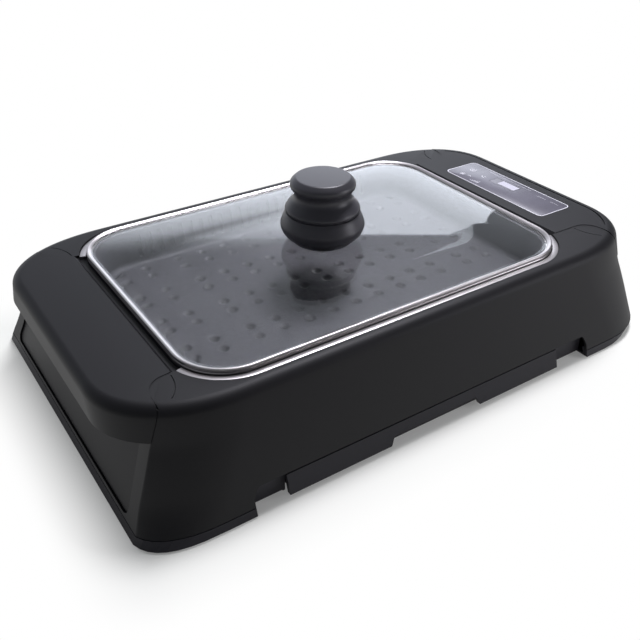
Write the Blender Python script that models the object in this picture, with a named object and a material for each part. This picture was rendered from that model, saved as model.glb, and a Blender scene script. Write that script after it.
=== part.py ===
"""Countertop electric grill with a glass lid, modelled as an assembly of separate pieces.

Metres, +Z up.  X runs along the grill with the control panel at +X, the front is -Y, and the origin
is on the table under the middle of the body.
"""

import math

import bmesh
import bpy
from mathutils import Matrix, Vector

MM = 0.001

# Body envelope
BODY_LENGTH = 543.2 * MM
BODY_WIDTH = 352.0 * MM
TOP_HEIGHT = 96.0 * MM
SHOULDER_ROUND = 8.0 * MM
SHOULDER_HEIGHT = TOP_HEIGHT - SHOULDER_ROUND
SIDE_LEAN = 28.56 * MM
LENGTH_LEAN = 3.84 * MM
END_LEAN = 38.4 * MM
SIDE_LEAN_SHARE = SIDE_LEAN / TOP_HEIGHT
LENGTH_LEAN_SHARE = LENGTH_LEAN / TOP_HEIGHT
END_LEAN_SHARE = END_LEAN / TOP_HEIGHT
END_TOE = 0.9 * MM
FOOT_CORNER_LENGTH = 62.0 * MM
FOOT_CORNER_WIDTH = 40.0 * MM
CORNER_LENGTH_GROWTH = 38.4 * MM
CORNER_WIDTH_GROWTH = 32.64 * MM
CORNER_LENGTH_GROWTH_SHARE = CORNER_LENGTH_GROWTH / TOP_HEIGHT
CORNER_WIDTH_GROWTH_SHARE = CORNER_WIDTH_GROWTH / TOP_HEIGHT
ELLIPSE_POWER = 2.0
TOP_SQUARENESS = 0.3
TOP_SQUARE_SHARE = 0.3
LEFT_FOOT_SQUARENESS = 0.9
FOOT_SQUARE_SHARE = 0.32
WALL = 2.8 * MM
FIT = 0.3 * MM
RUNNING_FIT = 0.08 * MM
OVERRUN = 6.0 * MM
CORNER_STEPS = 8
ROUND_STEPS = 24
SMALL_STEPS = 12

# Lid outline, set in from the body; the plate, the trims and the housing mouth follow it
LID_LEFT_MARGIN = 70.6 * MM
LID_RIGHT_MARGIN = 92.6 * MM
LID_SIDE_MARGIN = 46.2 * MM
LID_LENGTH = BODY_LENGTH - LID_LEFT_MARGIN - LID_RIGHT_MARGIN
LID_WIDTH = BODY_WIDTH - 2.0 * LID_SIDE_MARGIN
LID_X = (LID_LEFT_MARGIN - LID_RIGHT_MARGIN) / 2.0
LID_CORNER = 45.1 * MM

# Housing
HOUSING_FOOT = 7.8 * MM
COVER_PROUD = 0.4 * MM
HOUSING_TOP = TOP_HEIGHT - COVER_PROUD
HOUSING_LEVEL_SHARES = (0.28, 0.52, 0.78)
SHOULDER_STEPS = 3
TRIM_WIDTH = 5.6 * MM
TRIM_THICKNESS = 2.4 * MM
TRIM_DROP = 1.1 * MM
TRIM_OFFSET = 0.9 * MM
TRIM_END_SHARE = 0.80
LEDGE_DROP = 5.7 * MM
LEDGE_HEIGHT = HOUSING_TOP - LEDGE_DROP
LEDGE_REACH = 4.3 * MM
LEDGE_THICKNESS = 2.5 * MM
CEILING_HEIGHT = LEDGE_HEIGHT + FIT
CEILING_OFFSET = 9.0 * MM
COLUMN_DIAMETER = 10.0 * MM
COLUMN_FROM_END = 52.0 * MM
COLUMN_FROM_SIDE = 78.0 * MM

# Handle covers
COVER_GAP = 8.5 * MM
COVER_PLATE = 2.6 * MM
COVER_BEVEL = 4.0 * MM
COVER_SKIRT = 25.4 * MM
COVER_WALL = 2.6 * MM
LOBE_FROM_SIDE = 74.5 * MM
COVER_STRAIGHT_Y = BODY_WIDTH / 2.0 - LOBE_FROM_SIDE
LOBE_RADIUS = 18.0 * MM
LOBE_STEPS = 6
GROOVE_INSET = 1.6 * MM
GROOVE_WIDTH = 1.6 * MM
GROOVE_DEPTH = 1.2 * MM
GROOVE_TURN = math.radians(38.0)

# End panels, in the plane of the sloping end face
PANEL_FOOT = 11.5 * MM
PANEL_TOP_MARGIN = 27.0 * MM
PANEL_HEIGHT = TOP_HEIGHT - PANEL_TOP_MARGIN
PANEL_FOOT_FROM_SIDE = 43.0 * MM
PANEL_TOP_FROM_SIDE = 57.0 * MM
PANEL_CORNER = 6.0 * MM
PANEL_RECESS = 1.4 * MM
PANEL_THICKNESS = 2.4 * MM
PANEL_FLANGE = 1.2 * MM

# Base pan
PAN_FOOT = 1.2 * MM
PAN_FLOOR = 2.0 * MM
PAN_LIP = 2.0 * MM
PAN_TUCK = 12.0 * MM
MOUTH_LEFT_INSET = 16.6 * MM
MOUTH_RIGHT_INSET = 6.8 * MM
MOUTH_LEFT = LID_X - LID_LENGTH / 2.0 + MOUTH_LEFT_INSET
MOUTH_RIGHT = LID_X + LID_LENGTH / 2.0 - MOUTH_RIGHT_INSET
MOUTH_TOP = 23.0 * MM
MOUTH_CHAMFER = 9.0 * MM
MOUTH_DEPTH = 23.5 * MM
CURTAIN_FOOT = 2.6 * MM
CURTAIN_THICKNESS = 2.5 * MM
BAY_WALL = 2.2 * MM
BAY_HEIGHT = 24.5 * MM
BAY_BACK_FROM_SIDE = 75.0 * MM
BAY_BACK = BODY_WIDTH / 2.0 - BAY_BACK_FROM_SIDE
SCREW_CUP_DIAMETER = 14.0 * MM
SCREW_CUP_HEIGHT = 6.0 * MM
SCREW_CUP_WALL = 2.0 * MM
SCREW_DIAMETER = 3.8 * MM
SCREW_LENGTH = 20.0 * MM
SCREW_HEAD_DIAMETER = 7.6 * MM
SCREW_HEAD_HEIGHT = 2.2 * MM
SCREW_HOLE_DIAMETER = 4.6 * MM

# Rubber feet
FOOT_DIAMETER = 18.0 * MM
FOOT_HEIGHT = 2.2 * MM
FOOT_FROM_END = 42.0 * MM
FOOT_FROM_SIDE = 48.0 * MM

# Drip tray
TRAY_INSET = 49.0 * MM
TRAY_LENGTH = LID_LENGTH - 2.0 * TRAY_INSET
TRAY_BACK_GAP = 3.0 * MM
TRAY_BACK = BAY_BACK - TRAY_BACK_GAP
TRAY_FOOT = 3.6 * MM
TRAY_HEIGHT = 15.6 * MM
TRAY_WALL = 1.8 * MM
TRAY_CORNER = 8.0 * MM
FASCIA_OVERLAP = 3.2 * MM
FASCIA_LENGTH = TRAY_LENGTH + 2.0 * FASCIA_OVERLAP
FASCIA_FOOT = 3.9 * MM
FASCIA_TOP = 20.8 * MM
FASCIA_SETBACK = 1.5 * MM
FASCIA_THICKNESS = 4.0 * MM
FINGER_LENGTH = 88.0 * MM
FINGER_HEIGHT = 11.5 * MM
FINGER_CHAMFER = 4.0 * MM

# Grill plate
PLATE_RIM_THICKNESS = 2.8 * MM
PLATE_RIM_TOP = LEDGE_HEIGHT + FIT + PLATE_RIM_THICKNESS
PLATE_WALL = 3.0 * MM
PLATE_MOUTH_INSET = 8.0 * MM
PLATE_FLOOR_INSET = 15.5 * MM
PLATE_DEPTH = 30.5 * MM
PLATE_FLOOR = PLATE_RIM_TOP - PLATE_DEPTH
PLATE_COVE = 6.0 * MM
DIMPLE_WIDE_PITCH = 34.0 * MM
DIMPLE_END_MARGIN = 10.0 * MM
DIMPLE_SIDE_MARGIN = 15.5 * MM
DIMPLE_PAIR_PITCH = 16.2 * MM
DIMPLE_DIAMETER = 8.0 * MM
DIMPLE_DEPTH = 1.5 * MM
DIMPLE_INNER_COLUMNS = 4
DIMPLE_ROWS = 2
DIMPLE_SIDES = 6
SLOT_COUNT = 25
SLOT_END_MARGIN = 14.1 * MM
SLOT_WIDTH = 5.2 * MM
SLOT_FOOT_RISE = 7.5 * MM
SLOT_TOP_DROP = 7.0 * MM
DRAIN_LENGTH = 14.0 * MM
DRAIN_WIDTH = 7.0 * MM

# Lid
LID_GAP = 0.4 * MM
RIM_HEIGHT = 5.9 * MM
RIM_TOP = PLATE_RIM_TOP + LID_GAP + RIM_HEIGHT
RIM_SHEET = 0.8 * MM
RIM_TOP_FLANGE = 4.2 * MM
RIM_FOOT_FLANGE = 5.6 * MM
GLASS_THICKNESS = 3.7 * MM
GLASS_EDGE_INSET = 1.2 * MM
GLASS_RISE = 4.6 * MM
GLASS_HOLE_DIAMETER = 8.0 * MM
GLASS_RING_SHARES = (0.985, 0.8, 0.55, 0.3, 0.14)

# Knob, turned about the middle of the lid
WASHER_DIAMETER = 22.0 * MM
WASHER_THICKNESS = 1.2 * MM
KNOB_FOOT = RIM_TOP - RIM_SHEET + GLASS_RISE + WASHER_THICKNESS + FIT
KNOB_BELL_DIAMETER = 77.0 * MM
KNOB_BELL_LOW_RISE = 11.9 * MM
KNOB_BELL_HEIGHT = KNOB_FOOT + KNOB_BELL_LOW_RISE
KNOB_GROOVE_DIAMETER = 65.0 * MM
KNOB_BELL_HIGH_RISE = 14.1 * MM
KNOB_SPLIT = KNOB_BELL_HEIGHT + KNOB_BELL_HIGH_RISE
KNOB_SHOULDER_DIAMETER = 68.0 * MM
KNOB_SHOULDER_RISE = 3.0 * MM
KNOB_SHOULDER_HEIGHT = KNOB_SPLIT + KNOB_SHOULDER_RISE
KNOB_NECK_DIAMETER = 51.6 * MM
KNOB_WAIST_RISE = 10.9 * MM
KNOB_NECK_HEIGHT = KNOB_SHOULDER_HEIGHT + KNOB_WAIST_RISE
KNOB_NECK_RISE = 5.5 * MM
KNOB_CAP_FOOT = KNOB_NECK_HEIGHT + KNOB_NECK_RISE
KNOB_CAP_DIAMETER = 58.5 * MM
KNOB_CAP_RISE = 7.6 * MM
KNOB_CAP_EDGE = KNOB_CAP_FOOT + KNOB_CAP_RISE
KNOB_CAP_FLAT_DIAMETER = 50.0 * MM
KNOB_CROWN_RISE = 5.1 * MM
KNOB_SEAT_DIAMETER = 56.0 * MM
KNOB_HOLLOW_DIAMETER = 46.0 * MM
KNOB_HOLLOW_DEPTH = 14.0 * MM
KNOB_SCREW_DIAMETER = 5.0 * MM
KNOB_SCREW_REACH = 36.0 * MM
KNOB_SCREW_HEAD_DIAMETER = 12.0 * MM
KNOB_SCREW_HEAD_HEIGHT = 3.0 * MM
KNOB_BORE_DIAMETER = 6.0 * MM

# Heating
SHIELD_END_INSET = 25.0 * MM
SHIELD_FRONT_INSET = 31.8 * MM
SHIELD_BACK_INSET = 30.8 * MM
SHIELD_HEIGHT_SHARE = 0.56
SHIELD_SHEET = 1.0 * MM
SHIELD_CORNER = 14.0 * MM
ELEMENT_DIAMETER = 6.6 * MM
ELEMENT_LEFT_INSET = 40.0 * MM
ELEMENT_RIGHT_INSET = 44.0 * MM
ELEMENT_TERMINAL_OVERHANG = 7.0 * MM
ELEMENT_SIDE_INSET = 45.8 * MM
ELEMENT_LEFT_REACH = LID_LENGTH / 2.0 - ELEMENT_LEFT_INSET
ELEMENT_RIGHT_REACH = LID_LENGTH / 2.0 - ELEMENT_RIGHT_INSET
ELEMENT_TERMINAL_REACH = LID_LENGTH / 2.0 + ELEMENT_TERMINAL_OVERHANG
ELEMENT_OUTER_Y = LID_WIDTH / 2.0 - ELEMENT_SIDE_INSET
ELEMENT_INNER_Y = 30.0 * MM
ELEMENT_BEND_STEPS = 8
CLIP_WIDTH = 12.0 * MM
CLIP_SHEET = 1.2 * MM
CLIP_OVERHANG = 11.0 * MM
CLIP_SPREAD = 2.0 * (ELEMENT_OUTER_Y + CLIP_OVERHANG)
CLIP_PLACES_SHARE = (-0.62, 0.0, 0.62)
TERMINAL_DIAMETER = 12.0 * MM
TERMINAL_LENGTH = 12.0 * MM
PROBE_DIAMETER = 13.0 * MM
PROBE_HEAD_HEIGHT = 3.0 * MM
PROBE_STEM_DIAMETER = 8.0 * MM
CUTOUT_DIAMETER = 16.0 * MM
CUTOUT_HEIGHT = 9.0 * MM

# Smoke extraction blower behind the tray bay
BLOWER_LEFT_INSET = 43.0 * MM
BLOWER_RIGHT_INSET = 87.0 * MM
BLOWER_LEFT = LID_X - LID_LENGTH / 2.0 + BLOWER_LEFT_INSET
BLOWER_RIGHT = LID_X + LID_LENGTH / 2.0 - BLOWER_RIGHT_INSET
CHEEK_CLEARANCE = 4.0 * MM
CHEEK_FOOT = PAN_FOOT + PAN_FLOOR + FIT
CHEEK_TOP = PLATE_FLOOR - PLATE_WALL - CHEEK_CLEARANCE
CHEEK_HEIGHT = CHEEK_TOP - CHEEK_FOOT
CHEEK_DEPTH = 50.0 * MM
BLOWER_WALL_GAP = 0.7 * MM
BLOWER_BACK = BODY_WIDTH / 2.0 - SIDE_LEAN_SHARE * CHEEK_TOP - WALL - BLOWER_WALL_GAP
BLOWER_Y = BLOWER_BACK - CHEEK_DEPTH / 2.0
BLOWER_HEIGHT_SHARE = 0.529
BLOWER_Z = CHEEK_FOOT + CHEEK_HEIGHT * BLOWER_HEIGHT_SHARE
IMPELLER_SHARE = 0.692
IMPELLER_DIAMETER = CHEEK_HEIGHT * IMPELLER_SHARE
IMPELLER_BORE_SHARE = 0.72
IMPELLER_DISC = 2.0 * MM
IMPELLER_BLADES = 16
BLADE_THICKNESS = 0.9 * MM
BLADE_CURVE = 1.6 * MM
SHAFT_DIAMETER = 5.0 * MM
SCROLL_SHEET = 1.4 * MM
SCROLL_GAP = 3.0 * MM
CHEEK_SHEET = 1.6 * MM
SCROLL_START = 150.0
SCROLL_END = 275.0
TONGUE_TURN = 30.0
MOTOR_SHARE = 0.73
MOTOR_DIAMETER = CHEEK_HEIGHT * MOTOR_SHARE
MOTOR_LENGTH = 30.0 * MM
MOTOR_NOSE_DIAMETER = 14.0 * MM
BEARING_DIAMETER = 14.0 * MM
BEARING_LENGTH = 7.0 * MM
EXHAUST_COUNT = 20
EXHAUST_END_MARGIN = 5.0 * MM
EXHAUST_WIDTH = 5.0 * MM
EXHAUST_FOOT_SHARE = 0.31
EXHAUST_TOP_SHARE = 0.85

# Controls and power, in the right end
OVERLAY_SETBACK = 13.5 * MM
OVERLAY_LENGTH = 44.0 * MM
OVERLAY_FROM_SIDE = 105.8 * MM
OVERLAY_LEFT = LID_X + LID_LENGTH / 2.0 + COVER_GAP + OVERLAY_SETBACK
OVERLAY_RIGHT = OVERLAY_LEFT + OVERLAY_LENGTH
OVERLAY_WIDTH = BODY_WIDTH - 2.0 * OVERLAY_FROM_SIDE
OVERLAY_CORNER = 6.0 * MM
OVERLAY_THICKNESS = 0.6 * MM
OVERLAY_PROUD = 0.1 * MM
WINDOW_LENGTH = 13.0 * MM
WINDOW_WIDTH = 34.0 * MM
WINDOW_X_SHARE = 0.62
WINDOW_Y = 6.0 * MM
DISPLAY_CLEAR = 1.0 * MM
BOARD_THICKNESS = 1.6 * MM
TOUCH_BOARD_LENGTH = 30.0 * MM
TOUCH_BOARD_DROP = 6.5 * MM
DECK_WINDOW_FROM_END = 40.8 * MM
DECK_WINDOW_RIGHT = BODY_LENGTH / 2.0 - DECK_WINDOW_FROM_END
DECK_WINDOW_MARGIN = 2.0 * MM
DECK_WINDOW_SIDE_MARGIN = 8.8 * MM
DECK_WINDOW_LENGTH = TOUCH_BOARD_LENGTH + 2.0 * DECK_WINDOW_MARGIN
DECK_WINDOW_WIDTH = OVERLAY_WIDTH + 2.0 * DECK_WINDOW_SIDE_MARGIN
TOUCH_BOARD_MARGIN = 4.0 * MM
TOUCH_BOARD_WIDTH = DECK_WINDOW_WIDTH - 2.0 * TOUCH_BOARD_MARGIN
POWER_BOARD_LENGTH = 52.0 * MM
POWER_BOARD_WIDTH_SHARE = 0.3125
POWER_BOARD_FROM_END = 58.6 * MM
POWER_BOARD_WIDTH = BODY_WIDTH * POWER_BOARD_WIDTH_SHARE
POWER_BOARD_X = BODY_LENGTH / 2.0 - POWER_BOARD_FROM_END
POWER_BOARD_Y = -6.0 * MM
POWER_BOARD_Z = 13.0 * MM
RELAY_LENGTH = 19.0 * MM
RELAY_WIDTH = 15.5 * MM
RELAY_HEIGHT = 15.0 * MM
CAPACITOR_DIAMETER = 12.5 * MM
CAPACITOR_HEIGHT = 20.0 * MM
TRANSFORMER_SIZE = 22.0 * MM
INLET_FROM_SIDE = 90.0 * MM
INLET_Y = BODY_WIDTH / 2.0 - INLET_FROM_SIDE
INLET_UP = 27.9 * MM
INLET_WIDTH = 30.0 * MM
INLET_HEIGHT = 22.0 * MM
INLET_DEPTH = 20.0 * MM
INLET_WALL = 2.2 * MM
INLET_FLANGE = 4.0 * MM
INLET_FLANGE_THICKNESS = 2.0 * MM
INLET_CORNER = 4.0 * MM
PIN_SPREAD = 7.0 * MM
PIN_DROP = 3.2 * MM
PIN_WIDTH = 2.0 * MM
PIN_HEIGHT = 4.0 * MM
PIN_REACH = 12.0 * MM
PIN_TAIL = 6.0 * MM


def clear_scene():
    """Remove whatever the file holds."""
    for item in list(bpy.data.objects):
        bpy.data.objects.remove(item, do_unlink=True)


def finish(name, colour, roughness, metallic=0.0):
    """Return a Principled material of one colour."""
    material = bpy.data.materials.new(name)
    material.use_nodes = True
    shader = material.node_tree.nodes["Principled BSDF"]
    shader.inputs["Base Color"].default_value = (*colour, 1.0)
    shader.inputs["Roughness"].default_value = roughness
    shader.inputs["Metallic"].default_value = metallic
    return material


def make_finishes():
    """Return the finishes of the grill by name."""
    return {
        "housing": finish("charcoal plastic", (0.030, 0.029, 0.033), 0.45),
        "pan": finish("black plastic", (0.018, 0.018, 0.019), 0.55),
        "steel": finish("brushed steel", (0.62, 0.60, 0.57), 0.28, 1.0),
        "coating": finish("nonstick coating", (0.050, 0.050, 0.055), 0.42),
        "glass": finish("tempered glass", (0.75, 0.78, 0.78), 0.05),
        "knob": finish("matt phenolic", (0.022, 0.022, 0.024), 0.40),
        "rubber": finish("silicone rubber", (0.05, 0.05, 0.05), 0.80),
        "shield": finish("aluminised steel", (0.55, 0.55, 0.56), 0.35, 1.0),
        "element": finish("element sheath", (0.12, 0.11, 0.11), 0.45, 1.0),
        "ceramic": finish("ceramic", (0.80, 0.77, 0.70), 0.50),
        "fan": finish("fan plastic", (0.10, 0.10, 0.11), 0.50),
        "board": finish("circuit board", (0.05, 0.20, 0.08), 0.50),
        "part": finish("component plastic", (0.04, 0.05, 0.10), 0.45),
        "overlay": finish("panel film", (0.10, 0.10, 0.11), 0.25),
        "window": finish("display window", (0.45, 0.45, 0.48), 0.20),
        "brass": finish("plated brass", (0.75, 0.62, 0.35), 0.30, 1.0),
    }


def add_object(name, vertices, faces, material=None, parent=None, smooth=True):
    """Make one closed mesh object, its faces turned outward."""
    mesh = bpy.data.meshes.new(name)
    mesh.from_pydata([tuple(point) for point in vertices], [], faces)
    shape = bmesh.new()
    shape.from_mesh(mesh)
    bmesh.ops.recalc_face_normals(shape, faces=shape.faces[:])
    shape.to_mesh(mesh)
    shape.free()
    if smooth:
        mesh.shade_smooth()
        mesh.set_sharp_from_angle(angle=math.radians(32.0))
    if material is not None:
        mesh.materials.append(material)
    item = bpy.data.objects.new(name, mesh)
    bpy.context.scene.collection.objects.link(item)
    if parent is not None:
        item.parent = parent
        item.matrix_parent_inverse = Matrix.Translation(-parent.location)
    return item


def loft(name, rings, material=None, parent=None, closed=False):
    """Skin rings of equal count, with end caps, or as a band that closes on itself."""
    count = len(rings[0])
    vertices = [point for ring in rings for point in ring]
    spans = len(rings) if closed else len(rings) - 1
    faces = []
    for level in range(spans):
        low = level * count
        high = (level + 1) % len(rings) * count
        for step in range(count):
            after = (step + 1) % count
            faces.append((low + step, low + after, high + after, high + step))
    if not closed:
        faces.append(tuple(range(count)))
        faces.append(tuple(range((len(rings) - 1) * count, len(rings) * count)))
    return add_object(name, vertices, faces, material, parent)


def flat_ring(outline, height):
    """Lift an outline of (x, y) points to one height."""
    return [Vector((x, y, height)) for x, y in outline]


def prism(name, outline, low, high, material=None, parent=None):
    """Extrude an outline of (x, y) points between two heights."""
    return loft(name, [flat_ring(outline, low), flat_ring(outline, high)], material, parent)


def slab(name, outline, low, high, axis, material=None, parent=None):
    """Extrude an outline along X or Y; the outline holds (y, z) or (x, z) points."""
    rings = []
    for place in (low, high):
        if axis == "X":
            rings.append([Vector((place, y, z)) for y, z in outline])
        else:
            rings.append([Vector((x, place, z)) for x, z in outline])
    return loft(name, rings, material, parent)


def rectangle(left, right, front, back):
    """Return the corners of a rectangle as an outline."""
    return [(left, front), (right, front), (right, back), (left, back)]


def circle(radius, steps, centre=(0.0, 0.0)):
    """Return a regular outline about a centre."""
    turns = [2.0 * math.pi * step / steps for step in range(steps)]
    return [(centre[0] + radius * math.cos(t), centre[1] + radius * math.sin(t)) for t in turns]


def rounded(points, radius, steps):
    """Round every corner of a convex outline, given anticlockwise."""
    outline = []
    for index, corner in enumerate(points):
        here = Vector(corner)
        before = (Vector(points[index - 1]) - here).normalized()
        after = (Vector(points[(index + 1) % len(points)]) - here).normalized()
        half = before.angle(after) / 2.0
        centre = here + (before + after).normalized() * radius / math.sin(half)
        first = here + before * radius / math.tan(half) - centre
        turn = math.pi - 2.0 * half
        for step in range(steps + 1):
            angle = turn * step / steps
            x = first.x * math.cos(angle) - first.y * math.sin(angle)
            y = first.x * math.sin(angle) + first.y * math.cos(angle)
            outline.append((centre.x + x, centre.y + y))
    return outline


def revolve(name, profile, centre, steps, material=None, parent=None, closed=False):
    """Turn (radius, height) points about a vertical axis through the centre."""
    rings = []
    for radius, height in profile:
        rings.append(flat_ring(circle(radius, steps, centre), height))
    return loft(name, rings, material, parent, closed)


def rod(name, radius, low, high, centre, material=None, parent=None, steps=SMALL_STEPS):
    """Make an upright cylinder."""
    return revolve(name, [(radius, low), (radius, high)], centre, steps, material, parent)


def tube_along_x(name, outer, inner, low, high, y, z, material=None, parent=None):
    """Make a sleeve whose axis runs along X."""
    rings = []
    for radius, place in ((outer, low), (outer, high), (inner, high), (inner, low)):
        rings.append([Vector((place, a, b)) for a, b in circle(radius, ROUND_STEPS, (y, z))])
    return loft(name, rings, material, parent, closed=True)


def hide_cutter(tool):
    """Keep a cutting body out of the model."""
    tool.hide_render = True
    tool.display_type = "WIRE"


def facet(solid):
    """Split a solid's faces into triangles, so that no cut meets a twisted face."""
    mesh = bmesh.new()
    mesh.from_mesh(solid.data)
    bmesh.ops.triangulate(mesh, faces=mesh.faces)
    mesh.to_mesh(solid.data)
    mesh.free()


def combine(target, tool, operation="DIFFERENCE"):
    """Cut the target with a tool, or join the tool to it."""
    hide_cutter(tool)
    modifier = target.modifiers.new(tool.name, "BOOLEAN")
    modifier.operation = operation
    modifier.object = tool
    modifier.solver = "EXACT"


def joined(name, solids):
    """Return one mesh object that holds several separate bodies, for a cutter."""
    vertices = []
    faces = []
    for solid in solids:
        offset = len(vertices)
        vertices.extend(tuple(vertex.co) for vertex in solid.data.vertices)
        faces.extend(tuple(index + offset for index in face.vertices) for face in solid.data.polygons)
        bpy.data.objects.remove(solid, do_unlink=True)
    return add_object(name, vertices, faces)


def joint_frame(name, location):
    """Place an empty on a joint's axis."""
    empty = bpy.data.objects.new(name, None)
    empty.location = location
    bpy.context.scene.collection.objects.link(empty)
    return empty


def end_face(height):
    """Return how far the sloping end face stands from the middle at a height."""
    return BODY_LENGTH / 2.0 - END_TOE - END_LEAN_SHARE * height


def corner_power(side, height):
    """Return the power of a corner's curve: two is an ellipse, and more is squarer."""
    foot = LEFT_FOOT_SQUARENESS if side < 0 else 0.0
    low = max(0.0, 1.0 - height / (TOP_HEIGHT * FOOT_SQUARE_SHARE))
    high = max(0.0, 1.0 - (TOP_HEIGHT - height) / (TOP_HEIGHT * TOP_SQUARE_SHARE))
    return ELLIPSE_POWER + foot * low * low + TOP_SQUARENESS * high


def corner_arc(side, height, inset, start, stop):
    """Return points on a rounded corner, drawn at +X +Y, from one angle to another."""
    reach_x = FOOT_CORNER_LENGTH + CORNER_LENGTH_GROWTH_SHARE * height - inset
    reach_y = FOOT_CORNER_WIDTH + CORNER_WIDTH_GROWTH_SHARE * height - inset
    centre_x = BODY_LENGTH / 2.0 - LENGTH_LEAN_SHARE * height - inset - reach_x
    centre_y = BODY_WIDTH / 2.0 - SIDE_LEAN_SHARE * height - inset - reach_y
    power = ELLIPSE_POWER / corner_power(side, height)
    points = []
    for step in range(CORNER_STEPS + 1):
        angle = start + (stop - start) * step / CORNER_STEPS
        along = abs(math.cos(angle)) ** power
        across = abs(math.sin(angle)) ** power
        points.append((centre_x + reach_x * along, centre_y + reach_y * across))
    return points


def crease_angle(side, height, inset, end_gap):
    """Return the corner angle at which the sloping end face cuts the body."""
    reach_x = FOOT_CORNER_LENGTH + CORNER_LENGTH_GROWTH_SHARE * height - inset
    centre_x = BODY_LENGTH / 2.0 - LENGTH_LEAN_SHARE * height - inset - reach_x
    share = max(0.0, min(1.0, (end_face(height) + end_gap - centre_x) / reach_x))
    return math.acos(share ** (corner_power(side, height) / ELLIPSE_POWER))


def four_corners(right, left):
    """Mirror a right and a left corner, both drawn at +X +Y, to all four, anticlockwise."""
    outline = list(right)
    outline.extend((-x, y) for x, y in reversed(left))
    outline.extend((-x, -y) for x, y in left)
    outline.extend((x, -y) for x, y in reversed(right))
    return outline


def cut_corner(side, height, inset, end_gap):
    """Return a corner of the body from the sloping end face round to the long side."""
    start = crease_angle(side, height, inset, end_gap)
    return corner_arc(side, height, inset, start, math.pi / 2.0)


def cut_ring(height, inset, end_gap):
    """Return the body's outline with both ends cut by their sloping faces."""
    right = cut_corner(1, height, inset, end_gap)
    left = cut_corner(-1, height, inset, end_gap)
    return flat_ring(four_corners(right, left), height)


def body_ring(height, inset=0.0):
    """Return the body's outline at a height, drawn in by a wall or a rounding."""
    return cut_ring(height, inset, -inset * math.hypot(1.0, END_LEAN_SHARE))


def shoulder_ring(angle, top, wall=0.0):
    """Return the outline on the shoulder rounding; the end face isn't drawn in."""
    height = SHOULDER_HEIGHT + (top - SHOULDER_HEIGHT) * math.sin(angle)
    inset = wall + SHOULDER_ROUND * (1.0 - math.cos(angle))
    return cut_ring(height, inset, -wall)


def lid_outline(offset):
    """Return the lid's rounded outline, grown by an offset."""
    radius = LID_CORNER + offset
    centre_x = LID_LENGTH / 2.0 + offset - radius
    centre_y = LID_WIDTH / 2.0 + offset - radius
    points = []
    for step in range(CORNER_STEPS + 1):
        angle = math.pi / 2.0 * step / CORNER_STEPS
        points.append((centre_x + radius * math.cos(angle), centre_y + radius * math.sin(angle)))
    return [(x + LID_X, y) for x, y in four_corners(points, points)]


def lid_ring(offset, height):
    """Return the lid's outline as a ring."""
    return flat_ring(lid_outline(offset), height)


def shoulder_angles():
    """Return the angles of the rings on the shoulder rounding, from the wall to the flat top."""
    return [math.pi / 2.0 * step / SHOULDER_STEPS for step in range(1, SHOULDER_STEPS + 1)]


def mouth_offset():
    """Return how far the housing mouth stands outside the lid outline."""
    return TRIM_OFFSET + TRIM_WIDTH + FIT


def trim_seat_height():
    """Return the height of the seat under the steel trims."""
    return HOUSING_TOP - TRIM_DROP - TRIM_THICKNESS - FIT


def cover_edge(side):
    """Return the x of a handle cover's inner edge."""
    return LID_X + side * (LID_LENGTH / 2.0 + COVER_GAP)


def lobe_centre():
    """Return the centre of the round corner lobe at +X +Y."""
    centre_x = end_face(TOP_HEIGHT) + FIT - LOBE_RADIUS
    return centre_x, COVER_STRAIGHT_Y + LOBE_RADIUS


def lobe_arc(shrink):
    """Return the arc of the lobe at +X +Y, from the cover's straight edge outward."""
    centre_x, centre_y = lobe_centre()
    radius = LOBE_RADIUS - shrink
    points = []
    for step in range(LOBE_STEPS + 1):
        angle = math.pi / 2.0 * step / LOBE_STEPS
        points.append((centre_x + radius * math.sin(angle), centre_y - radius * math.cos(angle)))
    return points


def mirrored_half(points, side):
    """Close a half outline at +Y with its mirror at -Y, on the chosen end of the body."""
    outline = [(side * x, -y) for x, y in points]
    outline.extend((side * x, y) for x, y in reversed(points))
    return outline


def cover_recess(side):
    """Cut the housing's top where a handle cover lies."""
    edge = abs(cover_edge(side)) - OVERRUN
    half = [(edge, COVER_STRAIGHT_Y + FIT)]
    half.extend(lobe_arc(FIT))
    half.append((half[-1][0], BODY_WIDTH / 2.0))
    half.append((BODY_LENGTH / 2.0 + OVERRUN, BODY_WIDTH / 2.0))
    floor = TOP_HEIGHT - COVER_PLATE - FIT
    return prism("cover_recess", mirrored_half(half, side), floor, TOP_HEIGHT + OVERRUN)


def end_point(side, across, up, out):
    """Place a point given in the end face: across is along Y, up the slope, out along its normal."""
    lean = math.hypot(1.0, END_LEAN_SHARE)
    x = end_face(0.0) - up * END_LEAN_SHARE / lean + out / lean
    z = up / lean + out * END_LEAN_SHARE / lean
    return Vector((side * x, across, z))


def end_loft(name, side, layers, material=None, closed=False):
    """Loft outlines that lie parallel to an end face; each layer is (outline, out)."""
    rings = [[end_point(side, across, up, out) for across, up in outline] for outline, out in layers]
    return loft(name, rings, material, closed=closed)


def panel_outline(grow):
    """Return an end panel's outline in the end face, grown by an offset."""
    foot = BODY_WIDTH / 2.0 - PANEL_FOOT_FROM_SIDE + grow
    top = BODY_WIDTH / 2.0 - PANEL_TOP_FROM_SIDE + grow
    low = PANEL_FOOT - grow
    high = PANEL_FOOT + PANEL_HEIGHT + grow
    corners = [(-foot, low), (foot, low), (top, high), (-top, high)]
    return rounded(corners, PANEL_CORNER + grow, LOBE_STEPS // 2)


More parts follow.
